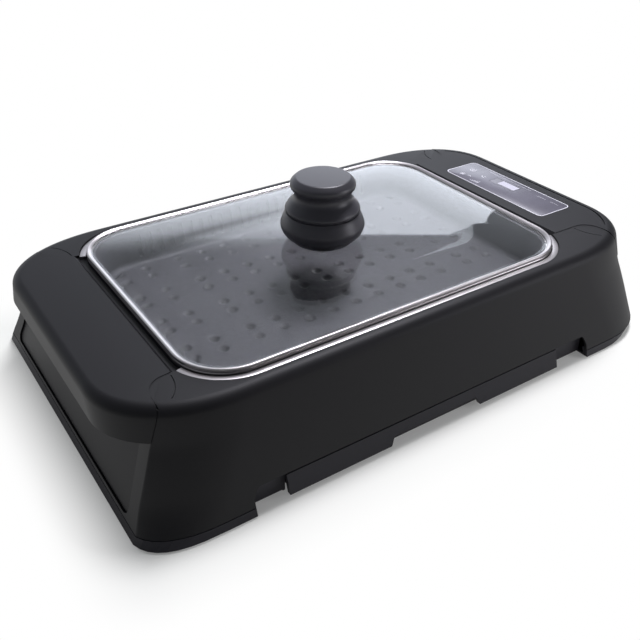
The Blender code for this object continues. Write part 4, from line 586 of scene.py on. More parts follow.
def whole_outline(right: np.ndarray, left: np.ndarray) -> np.ndarray:
    """Mirror a right and a left corner round to all four corners and fill the straight runs.

    Args:
        right: points of the right end's corner, drawn at +X +Y from the end round to the back.
        left: points of the left end's corner, drawn at +X +Y in the same way.

    Returns:
        The closed outline, anticlockwise.
    """
    flip_x, flip_y = np.array([-1.0, 1.0]), np.array([1.0, -1.0])
    second = (left * flip_x)[::-1]
    third = -left
    fourth = (right * flip_y)[::-1]
    corners = (right, second, third, fourth, right)
    runs = []
    for place, steps in enumerate((LONG_STEPS, SHORT_STEPS, LONG_STEPS, SHORT_STEPS)):
        runs += [corners[place], between(corners[place][-1], corners[place + 1][0], steps)]
    return np.concatenate(runs)


def turned(profile: np.ndarray, steps: int, centre: tuple[float, float]) -> np.ndarray:
    """Turn a profile of (radius, height) about a vertical axis.

    Point (i, j) lies at the centre plus radius i times (cosine, sine) of turn j, at height i.

    Args:
        profile: rows of radius and height.
        steps: number of turns round the axis.
        centre: the axis.

    Returns:
        A grid of profile rows by steps.
    """
    turn = np.linspace(0.0, 2.0 * np.pi, steps, endpoint=False)
    x = centre[0] + profile[:, :1] * np.cos(turn)
    y = centre[1] + profile[:, :1] * np.sin(turn)
    z = np.broadcast_to(profile[:, 1:2], x.shape)
    return np.stack([x, y, z], axis=-1)


def quadratic(first: np.ndarray, corner: np.ndarray, last: np.ndarray, share: np.ndarray) -> np.ndarray:
    """Return the points (1-t)^2 first + 2 t (1-t) corner + t^2 last, with t the column of shares."""
    return (1 - share) ** 2 * first + 2 * share * (1 - share) * corner + share**2 * last


def softened(corners: list[tuple[float, float]], radii: list[float], steps: int = 5) -> np.ndarray:
    """Round the corners of a profile by quadratic curves.

    Near corner p with neighbours a and b the curve is (1-t)^2 p1 + 2 t (1-t) p + t^2 p2, where p1 and
    p2 lie one radius from p towards a and b.

    Args:
        corners: the profile's corners in order.
        radii: how far each rounding reaches along its two sides; none at the ends.
        steps: spaces in each rounding.

    Returns:
        The rounded profile.
    """
    points = np.array(corners, float)
    runs = [points[:1]]
    share = np.linspace(0.0, 1.0, steps + 1)[:, None]
    for place in range(1, len(points) - 1):
        p, a, b = points[place], points[place - 1], points[place + 1]
        reach_a = min(radii[place], 0.49 * np.linalg.norm(a - p))
        reach_b = min(radii[place], 0.49 * np.linalg.norm(b - p))
        if radii[place] <= 0.0:
            runs.append(points[place : place + 1])
            continue
        runs.append(quadratic(p + unit(a - p) * reach_a, p, p + unit(b - p) * reach_b, share))
    runs.append(points[-1:])
    return np.concatenate(runs)


def smooth(mesh: bpy.types.Mesh, angle: float) -> None:
    """Shade a mesh smooth, but for edges sharper than an angle in degrees."""
    mesh.shade_smooth()
    mesh.set_sharp_from_angle(angle=math.radians(angle))


def put(name: str, shell: Shell, angle: float = SHARP, level: bool = True) -> bpy.types.Object:
    """Make a mesh object from a shell.

    Args:
        name: the object's name.
        shell: its points and faces.
        angle: edges sharper than this, in degrees, stay sharp.
        level: turn every face outward.

    Returns:
        The object, at the origin.
    """
    mesh = bpy.data.meshes.new(name)
    mesh.from_pydata(shell.points.tolist(), [], shell.faces)
    if level:
        work = bmesh.new()
        work.from_mesh(mesh)
        bmesh.ops.remove_doubles(work, verts=work.verts, dist=1e-7)
        bmesh.ops.recalc_face_normals(work, faces=work.faces[:])
        work.to_mesh(mesh)
        work.free()
    smooth(mesh, angle)
    piece = bpy.data.objects.new(name, mesh)
    bpy.context.scene.collection.objects.link(piece)
    return piece


def cut(piece: bpy.types.Object, tools: list[Shell]) -> None:
    """Cut a piece with closed shells and keep the result as its mesh.

    Args:
        piece: the piece to cut.
        tools: closed shells, each taken away in turn.
    """
    cutters = [put("cutter", tool) for tool in tools]
    for cutter in cutters:
        modifier = piece.modifiers.new("cut", "BOOLEAN")
        modifier.operation = "DIFFERENCE"
        modifier.solver = "EXACT"
        modifier.object = cutter
    result = bpy.data.meshes.new_from_object(piece.evaluated_get(bpy.context.evaluated_depsgraph_get()))
    piece.modifiers.clear()
    old = piece.data
    piece.data = result
    bpy.data.meshes.remove(old)
    for cutter in cutters:
        bpy.data.objects.remove(cutter, do_unlink=True)
    smooth(result, SHARP)


def dress(piece: bpy.types.Object, finish: Finish, role: Role, *nodes: str) -> bpy.types.Object:
    """Give a piece its finish, its body and the CAD nodes that it stands for.

    Args:
        piece: the new piece.
        finish: its finish.
        role: the body on which it rides.
        *nodes: CAD nodes that it replaces.

    Returns:
        The piece.
    """
    piece.data.materials.clear()
    piece.data.materials.append(finish.build())
    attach(piece, role.value)
    if nodes:
        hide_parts(*nodes)
    LOG.info("%s: %d faces, %s", piece.name, len(piece.data.polygons), finish.name)
    return piece


def refine(frame: dict, node: str, finish: Finish, role: Role, bevel: float = 0.0) -> bpy.types.Object:
    """Stand a smooth-shaded copy in for a CAD node whose shape is right.

    Args:
        node: the CAD node.
        finish: the finish of the copy.
        role: the body on which it rides.
        bevel: width of the rounding on its edges; none at zero.

    Returns:
        The copy.
    """
    mesh = frame["nodes"][node].data.copy()
    work = bmesh.new()
    work.from_mesh(mesh)
    bmesh.ops.remove_doubles(work, verts=work.verts, dist=2e-6)
    bmesh.ops.dissolve_limit(work, angle_limit=math.radians(1.0), verts=work.verts[:], edges=work.edges[:])
    work.to_mesh(mesh)
    work.free()
    smooth(mesh, 34.0)
    piece = bpy.data.objects.new(node + "_finished", mesh)
    bpy.context.scene.collection.objects.link(piece)
    if bevel > 0.0:
        rounding = piece.modifiers.new("edge", "BEVEL")
        rounding.width = bevel
        rounding.segments = 2
        rounding.limit_method = "ANGLE"
        rounding.angle_limit = math.radians(40.0)
        rounding.harden_normals = False
    return dress(piece, finish, role, node)


# Shapes of the grill


@dataclass(frozen=True)
class BodyForm:
    """Outlines of the leaning body.  At height z a corner is a quarter of the curve
    |x / a|^n + |y / b|^n = 1, whose half-axes a and b grow with z and whose power n is two in the
    middle and more near the top and near the left foot.  The end face cuts it at x = end - lean * z.
    """

    length: float = 543.2 * MM
    width: float = 352.0 * MM
    foot: float = 7.8 * MM
    shoulder: float = 88.0 * MM
    housing_top: float = 95.6 * MM
    top: float = 96.0 * MM
    rounding: float = 8.0 * MM
    toe: float = 0.9 * MM
    end_lean: float = 0.40
    wall: float = 2.8 * MM
    fit: float = 0.3 * MM
    top_squareness: float = 0.3
    top_share: float = 0.3
    foot_squareness: float = 0.9
    foot_share: float = 0.32
    corner_reach: tuple = (62.0 * MM, 40.0 * MM)
    corner_growth: tuple = (0.40, 0.34)
    wall_lean: tuple = (0.04, 0.2975)
    ease: float = 1.2 * MM
    probe: float = 0.3
    probe_steps: int = 60
    steps: int = 28
    eased_steps: int = 5

    def end_face(self, height: float) -> float:
        """Return how far the sloping end face stands from the middle at a height."""
        return self.length / 2.0 - self.toe - self.end_lean * height

    def ellipse(self, height: float, inset: float) -> tuple[np.ndarray, np.ndarray]:
        """Return the corner curve's centre and half-axes at a height, drawn in by an inset.

        Args:
            height: the level.
            inset: how far the outline is drawn in.

        Returns:
            The centre and the half-axes.
        """
        reach = np.array(self.corner_reach) + np.array(self.corner_growth) * height - inset
        outer = np.array([self.length / 2.0, self.width / 2.0]) - np.array(self.wall_lean) * height
        return outer - inset - reach, reach

    def power(self, side: Side, height: float) -> float:
        """Return the power of a corner's curve at a height.

        Args:
            side: the end of the grill.
            height: the level.

        Returns:
            The curve's power.
        """
        foot = self.foot_squareness if side is Side.LEFT else 0.0
        low = max(0.0, 1.0 - height / (self.top * self.foot_share))
        high = max(0.0, 1.0 - (self.top - height) / (self.top * self.top_share))
        return 2.0 + foot * low**2 + self.top_squareness * high

    def curve(self, side: Side, height: float, inset: float, turn: np.ndarray) -> np.ndarray:
        """Return the corner's points at given angles: a cos^(2/n), b sin^(2/n) about its centre.

        Args:
            side: the end of the grill.
            height: the level.
            inset: how far the outline is drawn in.
            turn: the angles, in radians.

        Returns:
            The points.
        """
        centre, reach = self.ellipse(height, inset)
        share = 2.0 / self.power(side, height)
        along, across = np.abs(np.cos(turn)) ** share, np.abs(np.sin(turn)) ** share
        return centre + reach * np.column_stack([along, across])

    def crease(self, side: Side, height: float, inset: float, end_gap: float) -> float:
        """Return the corner's angle where the end face cuts it.

        Args:
            side: the end of the grill.
            height: the level.
            inset: how far the outline is drawn in.
            end_gap: how far the end face is moved out.

        Returns:
            The angle, in radians.
        """
        centre, reach = self.ellipse(height, inset)
        share = (self.end_face(height) + end_gap - centre[0]) / reach[0]
        return math.acos(min(1.0, max(0.0, share)) ** (self.power(side, height) / 2.0))

    def corner(self, side: Side, height: float, inset: float, end_gap: float) -> np.ndarray:
        """Return a corner, drawn at +X +Y, from the end face round to the back, its crease eased.

        The crease p is replaced by (1-t)^2 a + 2 t (1-t) p + t^2 b, with a on the end face and b on the
        curve, both one easing length from p.

        Args:
            side: the end of the grill.
            height: the level.
            inset: how far the outline is drawn in.
            end_gap: how far the end face is moved out.

        Returns:
            The points.
        """
        start = self.crease(side, height, inset, end_gap)
        point = self.curve(side, height, inset, np.array([start]))[0]
        near = self.curve(side, height, inset, start + np.linspace(0.0, self.probe, self.probe_steps + 1))
        far = np.linalg.norm(near - point, axis=1)
        start_arc = start + self.probe * min(self.probe_steps, int(np.searchsorted(far, self.ease))) / self.probe_steps
        curve = self.curve(side, height, inset, np.linspace(start_arc, math.pi / 2.0, self.steps + 1))
        before = point - np.array([0.0, self.ease])
        share = np.linspace(0.0, 1.0, self.eased_steps + 1)[:-1, None]
        return np.concatenate([quadratic(before, point, curve[0], share), curve])

    def cut_ring(self, height: float, inset: float, end_gap: float) -> np.ndarray:
        """Return the body's whole outline with both ends cut by their sloping faces."""
        right, left = (self.corner(side, height, inset, end_gap) for side in (Side.RIGHT, Side.LEFT))
        return lift(whole_outline(right, left), height)

    def ring(self, height: float, inset: float = 0.0) -> np.ndarray:
        """Return the body's whole outline at a height."""
        return self.cut_ring(height, inset, -inset * math.hypot(1.0, self.end_lean))

    def shoulder_level(self, angle: float, top: float) -> tuple[float, float]:
        """Return the height and inset of the shoulder's rounding at an angle."""
        height = self.shoulder + (top - self.shoulder) * math.sin(angle)
        return height, self.rounding * (1.0 - math.cos(angle))

    def shoulder_ring(self, angle: float) -> np.ndarray:
        """Return the housing's outline on its rounded shoulder; the end face isn't drawn in."""
        height, inset = self.shoulder_level(angle, self.housing_top)
        return self.cut_ring(height, inset, 0.0)

    def end_point(self, side: Side, outline: np.ndarray, out: float) -> np.ndarray:
        """Place (across, up) points of the end face: up the slope, and out along its normal.

        Args:
            side: the end of the grill.
            outline: the points on the end face.
            out: how far they stand out of it.

        Returns:
            The points in space.
        """
        lean = math.hypot(1.0, self.end_lean)
        up = outline[:, 1]
        x = self.end_face(0.0) - up * self.end_lean / lean + out / lean
        z = up / lean + out * self.end_lean / lean
        return np.column_stack([side.value * x, outline[:, 0], z])


@dataclass(frozen=True)
class LidForm:
    """Rounded rectangle of the lid and its offsets, about the middle of the lid."""

    middle: float = -11.0 * MM
    length: float = 380.0 * MM
    width: float = 259.6 * MM
    corner: float = 45.1 * MM
    steps: int = 33

    def quarter(self, offset: float, radius: float | None = None) -> np.ndarray:
        """Return the +X +Y quarter of the outline grown by an offset.

        Args:
            offset: how far the outline is grown.
            radius: the corner's radius, where it isn't the lid's own.

        Returns:
            The points.
        """
        turn = self.corner + offset if radius is None else radius
        centre = (self.length / 2.0 + offset - turn, self.width / 2.0 + offset - turn)
        return arc(turn, 0.0, 90.0, self.steps, centre)

    def flat(self, offset: float, radius: float | None = None) -> np.ndarray:
        """Return the whole outline grown by an offset."""
        quarter = self.quarter(offset, radius)
        return whole_outline(quarter, quarter) + np.array([self.middle, 0.0])

    def ring(self, offset: float, height: float) -> np.ndarray:
        """Return the whole outline at a height."""
        return lift(self.flat(offset), height)


BODY = BodyForm()
LID = LidForm()
# Handle covers: straight inner edge, where its lobes begin, and their radius
COVER_EDGE = 190.0 * MM + 8.5 * MM
COVER_HALF = 101.5 * MM
LOBE_RADIUS = 18.0 * MM
# How far a cutting tool reaches past what it cuts
OVERRUN = 6.0 * MM


def mirrored_half(half: np.ndarray, side: Side) -> np.ndarray:
    """Close a half outline at +Y with its mirror at -Y, on one end of the body.

    Args:
        half: the half outline, drawn at +X +Y.
        side: the end of the grill.

    Returns:
        The closed outline.
    """
    front = half * np.array([side.value, -1.0])
    back = half[::-1] * np.array([side.value, 1.0])
    return np.concatenate([front, back])


def round_corners(corners: list[tuple[float, float]], radius: float, steps: int = 10) -> np.ndarray:
    """Round every corner of a convex anticlockwise outline with true arcs.

    Args:
        corners: the outline's corners.
        radius: the arcs' radius.
        steps: spaces in each arc.

    Returns:
        The rounded outline.
    """
    points = np.array(corners, float)
    runs = []
    for place in range(len(points)):
        here = points[place]
        before = points[place - 1] - here
        after = points[(place + 1) % len(points)] - here
        before, after = unit(before), unit(after)
        half = math.acos(float(np.clip(before @ after, -1.0, 1.0))) / 2.0
        centre = here + unit(before + after) * radius / math.sin(half)
        first = here + before * radius / math.tan(half) - centre
        turn = (math.pi - 2.0 * half) * np.arange(steps + 1) / steps
        x = first[0] * np.cos(turn) - first[1] * np.sin(turn)
        y = first[0] * np.sin(turn) + first[1] * np.cos(turn)
        runs.append(centre + np.column_stack([x, y]))
    return np.concatenate(runs)


def prism(outline: np.ndarray, low: float, high: float) -> Shell:
    """Extrude an outline between two heights."""
    return grid_shell(np.stack([lift(outline, low), lift(outline, high)]))


def along_y(outline: np.ndarray, front: float, back: float) -> Shell:
    """Extrude an outline of (x, z) points between two places on Y."""
    rings = [np.column_stack([outline[:, 0], np.full(len(outline), y), outline[:, 1]]) for y in (front, back)]
    return grid_shell(np.stack(rings))


def rectangle(left: float, right: float, low: float, high: float) -> np.ndarray:
    """Return a rectangle's corners, anticlockwise."""
    return np.array([(left, low), (right, low), (right, high), (left, high)])


def merged(shells: list[Shell]) -> Shell:
    """Return several shells as one."""
    return reduce(Shell.plus, shells)


def end_shell(side: Side, layers: list[tuple[np.ndarray, float]]) -> Shell:
    """Loft outlines that lie parallel to an end face; each layer is an outline and how far out it lies."""
    return grid_shell(np.stack([BODY.end_point(side, outline, out) for outline, out in layers]))


def panel_outline(grow: float) -> np.ndarray:
    """Return an end panel's outline in the end face, grown by an offset.

    Args:
        grow: the offset.

    Returns:
        The points, across and up the end face.
    """
    foot, top = 133.0 * MM + grow, 119.0 * MM + grow
    low, high = 11.5 * MM - grow, 80.5 * MM + grow
    return round_corners([(-foot, low), (foot, low), (top, high), (-top, high)], 6.0 * MM + grow)


@dataclass
class Housing:
    """Upper housing: leaning walls, rounded shoulder, stepped mouth, cut for covers, panels and arch."""

    finishes: Finishes
    mouth: float = 6.8 * MM
    trim_offset: float = 0.9 * MM
    seat: float = 91.8 * MM
    ledge: float = 89.9 * MM
    ledge_reach: float = 4.3 * MM
    edge: float = 0.4 * MM
    ledge_depth: float = 2.5 * MM
    inner_top: tuple = (9.0 * MM, 90.2 * MM)
    crease_tip: tuple = (230.5 * MM, 102.6 * MM)
    crease_axes: tuple = (20.0 * MM, 30.0 * MM)
    crease_half: float = 0.35 * MM
    crease_depth: float = 0.9 * MM
    slots: int = 20
    slot_pitch: float = 12.0
    slots_middle: float = -33.0 * MM
    panel_seat: float = -8.8 * MM
    display_opening: tuple = (196.8 * MM, 230.8 * MM, -79.0 * MM, 79.0 * MM)
    column_x: float = 219.6 * MM
    column_y: float = 98.0 * MM
    recess_floor: float = 93.1 * MM
    recess_half: float = 101.8 * MM

    def rings(self) -> np.ndarray:
        """Return the section's rings from the foot over the shoulder, down the mouth and back inside.

        Returns:
            The rings, one above another.
        """
        edge, under = self.edge, self.ledge - self.ledge_depth
        rings = [BODY.ring(BODY.foot, edge), BODY.ring(BODY.foot + edge)]
        rings += [BODY.ring(z) for z in np.linspace(BODY.foot, BODY.shoulder, 22)[1:]]
        rings += [BODY.shoulder_ring(turn) for turn in np.linspace(0.0, math.pi / 2.0, 11)[1:]]
        rings += [LID.ring(self.mouth + edge, BODY.housing_top), LID.ring(self.mouth, BODY.housing_top - edge)]
        rings += [LID.ring(self.mouth, self.seat), LID.ring(self.trim_offset, self.seat)]
        rings += [LID.ring(self.trim_offset, self.ledge), LID.ring(-self.ledge_reach, self.ledge)]
        rings += [LID.ring(-self.ledge_reach, under), LID.ring(self.mouth, under), LID.ring(*self.inner_top)]
        inner = np.linspace(BODY.shoulder - BODY.wall, BODY.foot, 7)
        rings += [BODY.ring(z, BODY.wall) for z in inner]
        return np.stack(rings)

    def recess(self, side: Side) -> Shell:
        """Return the tool that clears the top where a handle cover lies.

        Args:
            side: the end of the grill.

        Returns:
            The tool.
        """
        inner = cover_edge(side) - OVERRUN
        half = np.concatenate(
            [
                [(inner, self.recess_half)],
                lobe(BODY.fit),
                [(lobe(BODY.fit)[-1][0], BODY.width / 2.0)],
                [(BODY.length / 2.0 + OVERRUN, BODY.width / 2.0)],
            ]
        )
        return prism(mirrored_half(half, side), self.recess_floor, BODY.top + OVERRUN)

    def creases(self, side: Side) -> list[Shell]:
        """Return the tools of the fine lines that close each corner lobe towards the long side.

        Each line is a quarter of an ellipse about the lobe's tip, one width thick.

        Args:
            side: the end of the grill.

        Returns:
            The two tools.
        """
        turn = np.radians(np.linspace(4.0, 62.0, 25))
        (x, y), (a, b) = self.crease_tip, self.crease_axes
        shells = []
        for end in (-1.0, 1.0):
            rings = []
            for reach in (self.crease_half, -self.crease_half):
                along, across = x - (a + reach) * np.cos(turn), y + (b + reach) * np.sin(turn)
                rings.append(np.column_stack([side.value * along, end * across]))
            outline = np.concatenate([rings[0], rings[1][::-1]])
            shells.append(prism(outline, BODY.housing_top - self.crease_depth, BODY.housing_top + OVERRUN))
        return shells

    def arch(self) -> Shell:
        """Return the tool that opens the front wall before the drip tray.

        Returns:
            The tool.
        """
        left, right, slope = -184.4 * MM, 172.2 * MM, 4.5 * MM
        low, spring, top = -6.0 * MM, 14.0 * MM, 23.0 * MM
        corners = [(left, low), (right, low), (right, spring), (right - slope, top)]
        corners += [(left + slope, top), (left, spring)]
        return along_y(round_corners(corners, 5.0 * MM, 6), -182.0 * MM, -152.5 * MM)

    def exhaust(self) -> Shell:
        """Return the tools of the twenty exhaust slots in the back wall, each with round ends.

        Returns:
            The tools as one shell.
        """
        starts = self.slots_middle + (np.arange(self.slots) - self.slots / 2.0) * self.slot_pitch * MM
        slots = []
        for left in starts:
            box = rectangle(left, left + 5.0 * MM, 16.0 * MM, 44.0 * MM)
            slots.append(along_y(round_corners(box, 2.0 * MM, 5), 154.0 * MM, 182.0 * MM))
        return merged(slots)

    def build(self) -> None:
        """Make the housing and its four screw columns."""
        piece = put("housing_shell", grid_shell(self.rings(), close_rows=True))
        tools = []
        for side in Side:
            tools.append(self.recess(side))
            outline = panel_outline(BODY.fit)
            tools.append(end_shell(side, [(outline, self.panel_seat), (outline, OVERRUN)]))
            tools += self.creases(side)
        tools += [self.arch(), self.exhaust()]
        tools.append(prism(rectangle(*self.display_opening), 82.0 * MM, 102.0 * MM))
        cut(piece, tools)
        dress(piece, self.finishes.housing, Role.BODY, "upper_housing")
        columns = []
        for x in (-self.column_x, self.column_x):
            for y in (-self.column_y, self.column_y):
                profile = np.array([(1.9, 7.5), (5.0, 7.5), (5.0, 90.4), (1.9, 90.4)]) * MM
                columns.append(grid_shell(turned(profile, 32, (x, y)), close_rows=True))
        dress(put("housing_columns", merged(columns)), self.finishes.housing, Role.BODY)


def cover_edge(side: Side) -> float:
    """Return how far from the middle a cover's straight inner edge lies."""
    return COVER_EDGE + side.value * LID.middle


def lobe(shrink: float) -> np.ndarray:
    """Return the arc of the round corner lobe at +X +Y, from the cover's straight edge outward."""
    centre = (BODY.end_face(BODY.top) + BODY.fit - LOBE_RADIUS, COVER_HALF + LOBE_RADIUS)
    return arc(LOBE_RADIUS - shrink, -90.0, 0.0, 22, centre)


@dataclass
class HandleCover:
    """Handle cover at one end: a top plate with a bevelled inner edge, and a skirt that overhangs."""

    finishes: Finishes
    side: Side
    skirt_foot: float = 70.6 * MM
    bevel: float = 4.0 * MM
    plate: float = 2.6 * MM
    wall: float = 2.6 * MM
    edge_round: float = 0.6 * MM
    foot_edge: float = 0.5 * MM
    groove: tuple = (9.6 * MM, 11.2 * MM)
    groove_depth: float = 1.2 * MM
    film_seat: float = 95.2 * MM
    window: tuple = (222.8 * MM, 233.8 * MM, -10.0 * MM, 22.0 * MM)

    def arc_to_end(self, height: float, inset: float, start: float, steps: int) -> np.ndarray:
        """Return the body's corner from an angle of its curve out to the end."""
        return BODY.curve(self.side, height, inset, np.linspace(start, 0.0, steps + 1))

    def level(self, height: float, inset: float) -> np.ndarray:
        """Return the cover's outline at one height.

        Args:
            height: the level.
            inset: how far the outline is drawn in.

        Returns:
            The closed outline.
        """
        bevel = min(self.bevel, BODY.top - height)
        above = max(0.0, height - BODY.top + self.edge_round)
        curve = lobe(self.edge_round - math.sqrt(self.edge_round**2 - above**2))
        start = BODY.crease(self.side, height, inset, BODY.fit)
        half = np.concatenate(
            [
                [(cover_edge(self.side) - bevel, COVER_HALF)],
                curve[:-1],
                [(BODY.end_face(height) + BODY.fit, curve[-1][1])],
                self.arc_to_end(height, inset, start, 30),
            ]
        )
        return lift(mirrored_half(half, self.side), height)

    def hollow(self) -> Shell:
        """Return the tool that clears everything under the top plate inside the skirt.

        Returns:
            The tool.
        """
        under = BODY.top - self.plate
        levels = [(self.skirt_foot - 6.0 * MM, self.wall), (BODY.shoulder, self.wall)]
        for turn in np.linspace(0.0, math.pi / 2.0, 8)[1:]:
            height = BODY.shoulder + (under - BODY.shoulder) * math.sin(turn)
            levels.append((height, self.wall * (2.0 - math.cos(turn))))
        rings = []
        for height, inset in levels:
            half = self.arc_to_end(height, inset, math.pi / 2.0, 30)
            rings.append(lift(mirrored_half(half, self.side), height))
        return grid_shell(np.stack(rings))

    def build(self) -> None:
        """Make the cover, cut for the panel film and its display where it carries them."""
        levels = [(self.skirt_foot, self.foot_edge), (self.skirt_foot + self.foot_edge, 0.0)]
        levels += [(z, 0.0) for z in np.linspace(self.skirt_foot, BODY.shoulder, 6)[1:]]
        levels += [BODY.shoulder_level(turn, BODY.top) for turn in np.linspace(0.0, math.pi / 2.0, 12)[1:]]
        grid = np.stack([self.level(height, inset) for height, inset in levels])
        name = self.side.name.lower()
        piece = put(name + "_cover", grid_shell(grid))
        tools = [self.hollow()]
        if self.side is Side.RIGHT:
            tools += [self.groove_ring(), prism(film_outline(BODY.fit), self.film_seat, BODY.top + OVERRUN)]
            tools.append(prism(rectangle(*self.window), 88.0 * MM, BODY.top + OVERRUN))
        cut(piece, tools)
        dress(piece, self.finishes.housing, Role.BODY, name + "_handle_cover")

    def groove_ring(self) -> Shell:
        """Return the tool of the fine channel that runs just inside the rounded outer edge.

        Returns:
            The tool.
        """
        halves = (self.arc_to_end(BODY.top, inset, math.radians(38.0), 40) for inset in self.groove)
        outer, inner = (mirrored_half(half, self.side) for half in halves)
        outline = np.concatenate([outer, inner[::-1]])
        return prism(outline, BODY.top - self.groove_depth, BODY.top + OVERRUN)


def film_outline(grow: float) -> np.ndarray:
    """Return the control panel film's outline."""
    left, right, half = 201.0 * MM - grow, 245.0 * MM + grow, 70.2 * MM + grow
    return round_corners([(left, -half), (right, -half), (right, half), (left, half)], 6.0 * MM + grow)


@dataclass
class EndPanel:
    """Panel set in one sloping end face, with a rounded edge and a flange behind the wall."""

    finishes: Finishes
    side: Side
    sink: float = -1.4 * MM
    flange: float = 1.2 * MM
    flange_depth: float = 2.4 * MM
    inlet: tuple = (0.0707, 0.1013, 0.0281, 0.0507)

    def build(self) -> None:
        """Make the panel, pierced for the power inlet at the control end."""
        back = -BODY.wall - BODY.fit
        layers = [(-0.9 * MM, self.sink), (-0.3 * MM, self.sink - 0.15 * MM), (0.0, self.sink - 0.6 * MM), (0.0, back)]
        layers += [(self.flange, back), (self.flange, back - self.flange_depth)]
        name = self.side.name.lower()
        piece = put(name + "_panel", end_shell(self.side, [(panel_outline(grow), out) for grow, out in layers]))
        if self.side is Side.RIGHT:
            hole = round_corners(rectangle(*self.inlet), 4.3 * MM)
            cut(piece, [end_shell(self.side, [(hole, back - OVERRUN), (hole, OVERRUN)])])
        dress(piece, self.finishes.housing, Role.BODY, name + "_end_panel")


@dataclass
class Trim:
    """Steel strip on the housing's lip that wraps round two corners of the lid."""

    finishes: Finishes
    end: int

    def path(self, offset: float) -> np.ndarray:
        """Return one edge of the trim from its right end to its left end.

        Args:
            offset: how far outside the lid's outline it lies.

        Returns:
            The points.
        """
        radius = LID.corner + offset
        centre = (LID.length / 2.0 + offset - radius, LID.width / 2.0 + offset - radius)
        half = arc(radius, 18.0, 90.0, 30, centre)
        flip = (-1.0, 1.0)
        points = np.concatenate([half, between(half[-1], half[-1] * flip, LONG_STEPS), half[::-1] * flip])
        return points * (1.0, self.end) + (LID.middle, 0.0)

    def build(self) -> None:
        """Sweep a strip with rounded edges along the path."""
        section = np.array([(0.9, 92.1), (6.5, 92.1), (6.5, 94.0), (6.3, 94.35), (5.9, 94.5), (1.5, 94.5)])
        section = np.concatenate([section, [(1.1, 94.35), (0.9, 94.0)]]) * MM
        grid = np.stack([lift(self.path(offset), z) for offset, z in section])
        name = "back_trim" if self.end > 0 else "front_trim"
        piece = put(name + "_strip", grid_shell(np.swapaxes(grid, 0, 1)))
        dress(piece, self.finishes.stainless, Role.BODY, name)


@dataclass
class Lid:
    """Lid: rolled steel rim and the domed pane in it."""

    finishes: Finishes
    edge_height: float = 97.0 * MM
    shoulder_rise: float = 4.7 * MM
    crown_rise: float = 1.1 * MM
    shoulder_inset: float = 60.0 * MM
    thickness: float = 3.7 * MM
    shoulder_corner: float = 30.0 * MM
    play: float = 1.2 * MM
    hole: float = 4.0 * MM
    rounds: int = 15

    def rim(self) -> None:
        """Roll the rim's section round the lid: a narrow top, a shoulder that slopes in, a side band, a lip."""
        section = [(-0.25, 93.4), (0.0, 93.65), (0.0, 95.6), (-0.28, 95.9), (0.0, 96.2), (0.0, 98.3)]
        section += [(-0.1, 98.75), (-0.35, 99.1), (-0.8, 99.3), (-1.6, 99.3), (-2.0, 99.15), (-4.2, 97.85)]
        section += [(-4.4, 97.6), (-4.3, 97.3), (-0.8, 97.3), (-0.8, 94.2), (-5.6, 94.2), (-5.6, 93.4)]
        grid = np.stack([LID.ring(offset * MM, z * MM) for offset, z in section])
        piece = put("rolled_rim", grid_shell(grid, close_rows=True), angle=50.0)
        dress(piece, self.finishes.stainless, Role.LID, "lid_rim")

    def pane(self) -> None:
        """Make the pane.  From the edge to the shoulder its height is edge + rise * (1 - (1-t)^2), and
        inside the shoulder it adds crown * (1 - s^2), with s the share of the way out.  The edge is
        ground thinner where the rim holds it.
        """
        outer = LID.flat(-self.play) - (LID.middle, 0.0)
        inner = LID.flat(-self.shoulder_inset, self.shoulder_corner) - (LID.middle, 0.0)
        rings, heights = [], []
        for t in np.linspace(0.0, 1.0, self.rounds):
            rings.append(outer + (inner - outer) * t)
            heights.append(self.edge_height + self.shoulder_rise * (1.0 - (1.0 - t) ** 2))
        turn = np.arctan2(inner[:, 1], inner[:, 0])
        hole = self.hole * np.column_stack([np.cos(turn), np.sin(turn)])
        for s in np.linspace(1.0, 0.0, self.rounds)[1:]:
            rings.append(hole + (inner - hole) * s)
            heights.append(self.edge_height + self.shoulder_rise + self.crown_rise * (1.0 - s**2))
        top = np.stack([lift(ring + (LID.middle, 0.0), z) for ring, z in zip(rings, heights)])
        order = np.arange(len(top))
        thin = (np.clip(1.0 - order / self.rounds, 0.0, 1.0) * 0.55 + 1.3 * (order == 0)) * MM
        under = (top - np.array([(0.0, 0.0, 1.0)]) * (self.thickness - thin)[:, None, None])[::-1]
        piece = put("domed_pane", grid_shell(np.concatenate([top, under]), close_rows=True))
        piece.visible_shadow = False
        dress(piece, self.finishes.glass, Role.LID, "lid_glass")

    def build(self) -> None:
        """Make both parts of the lid."""
        self.rim()
        self.pane()


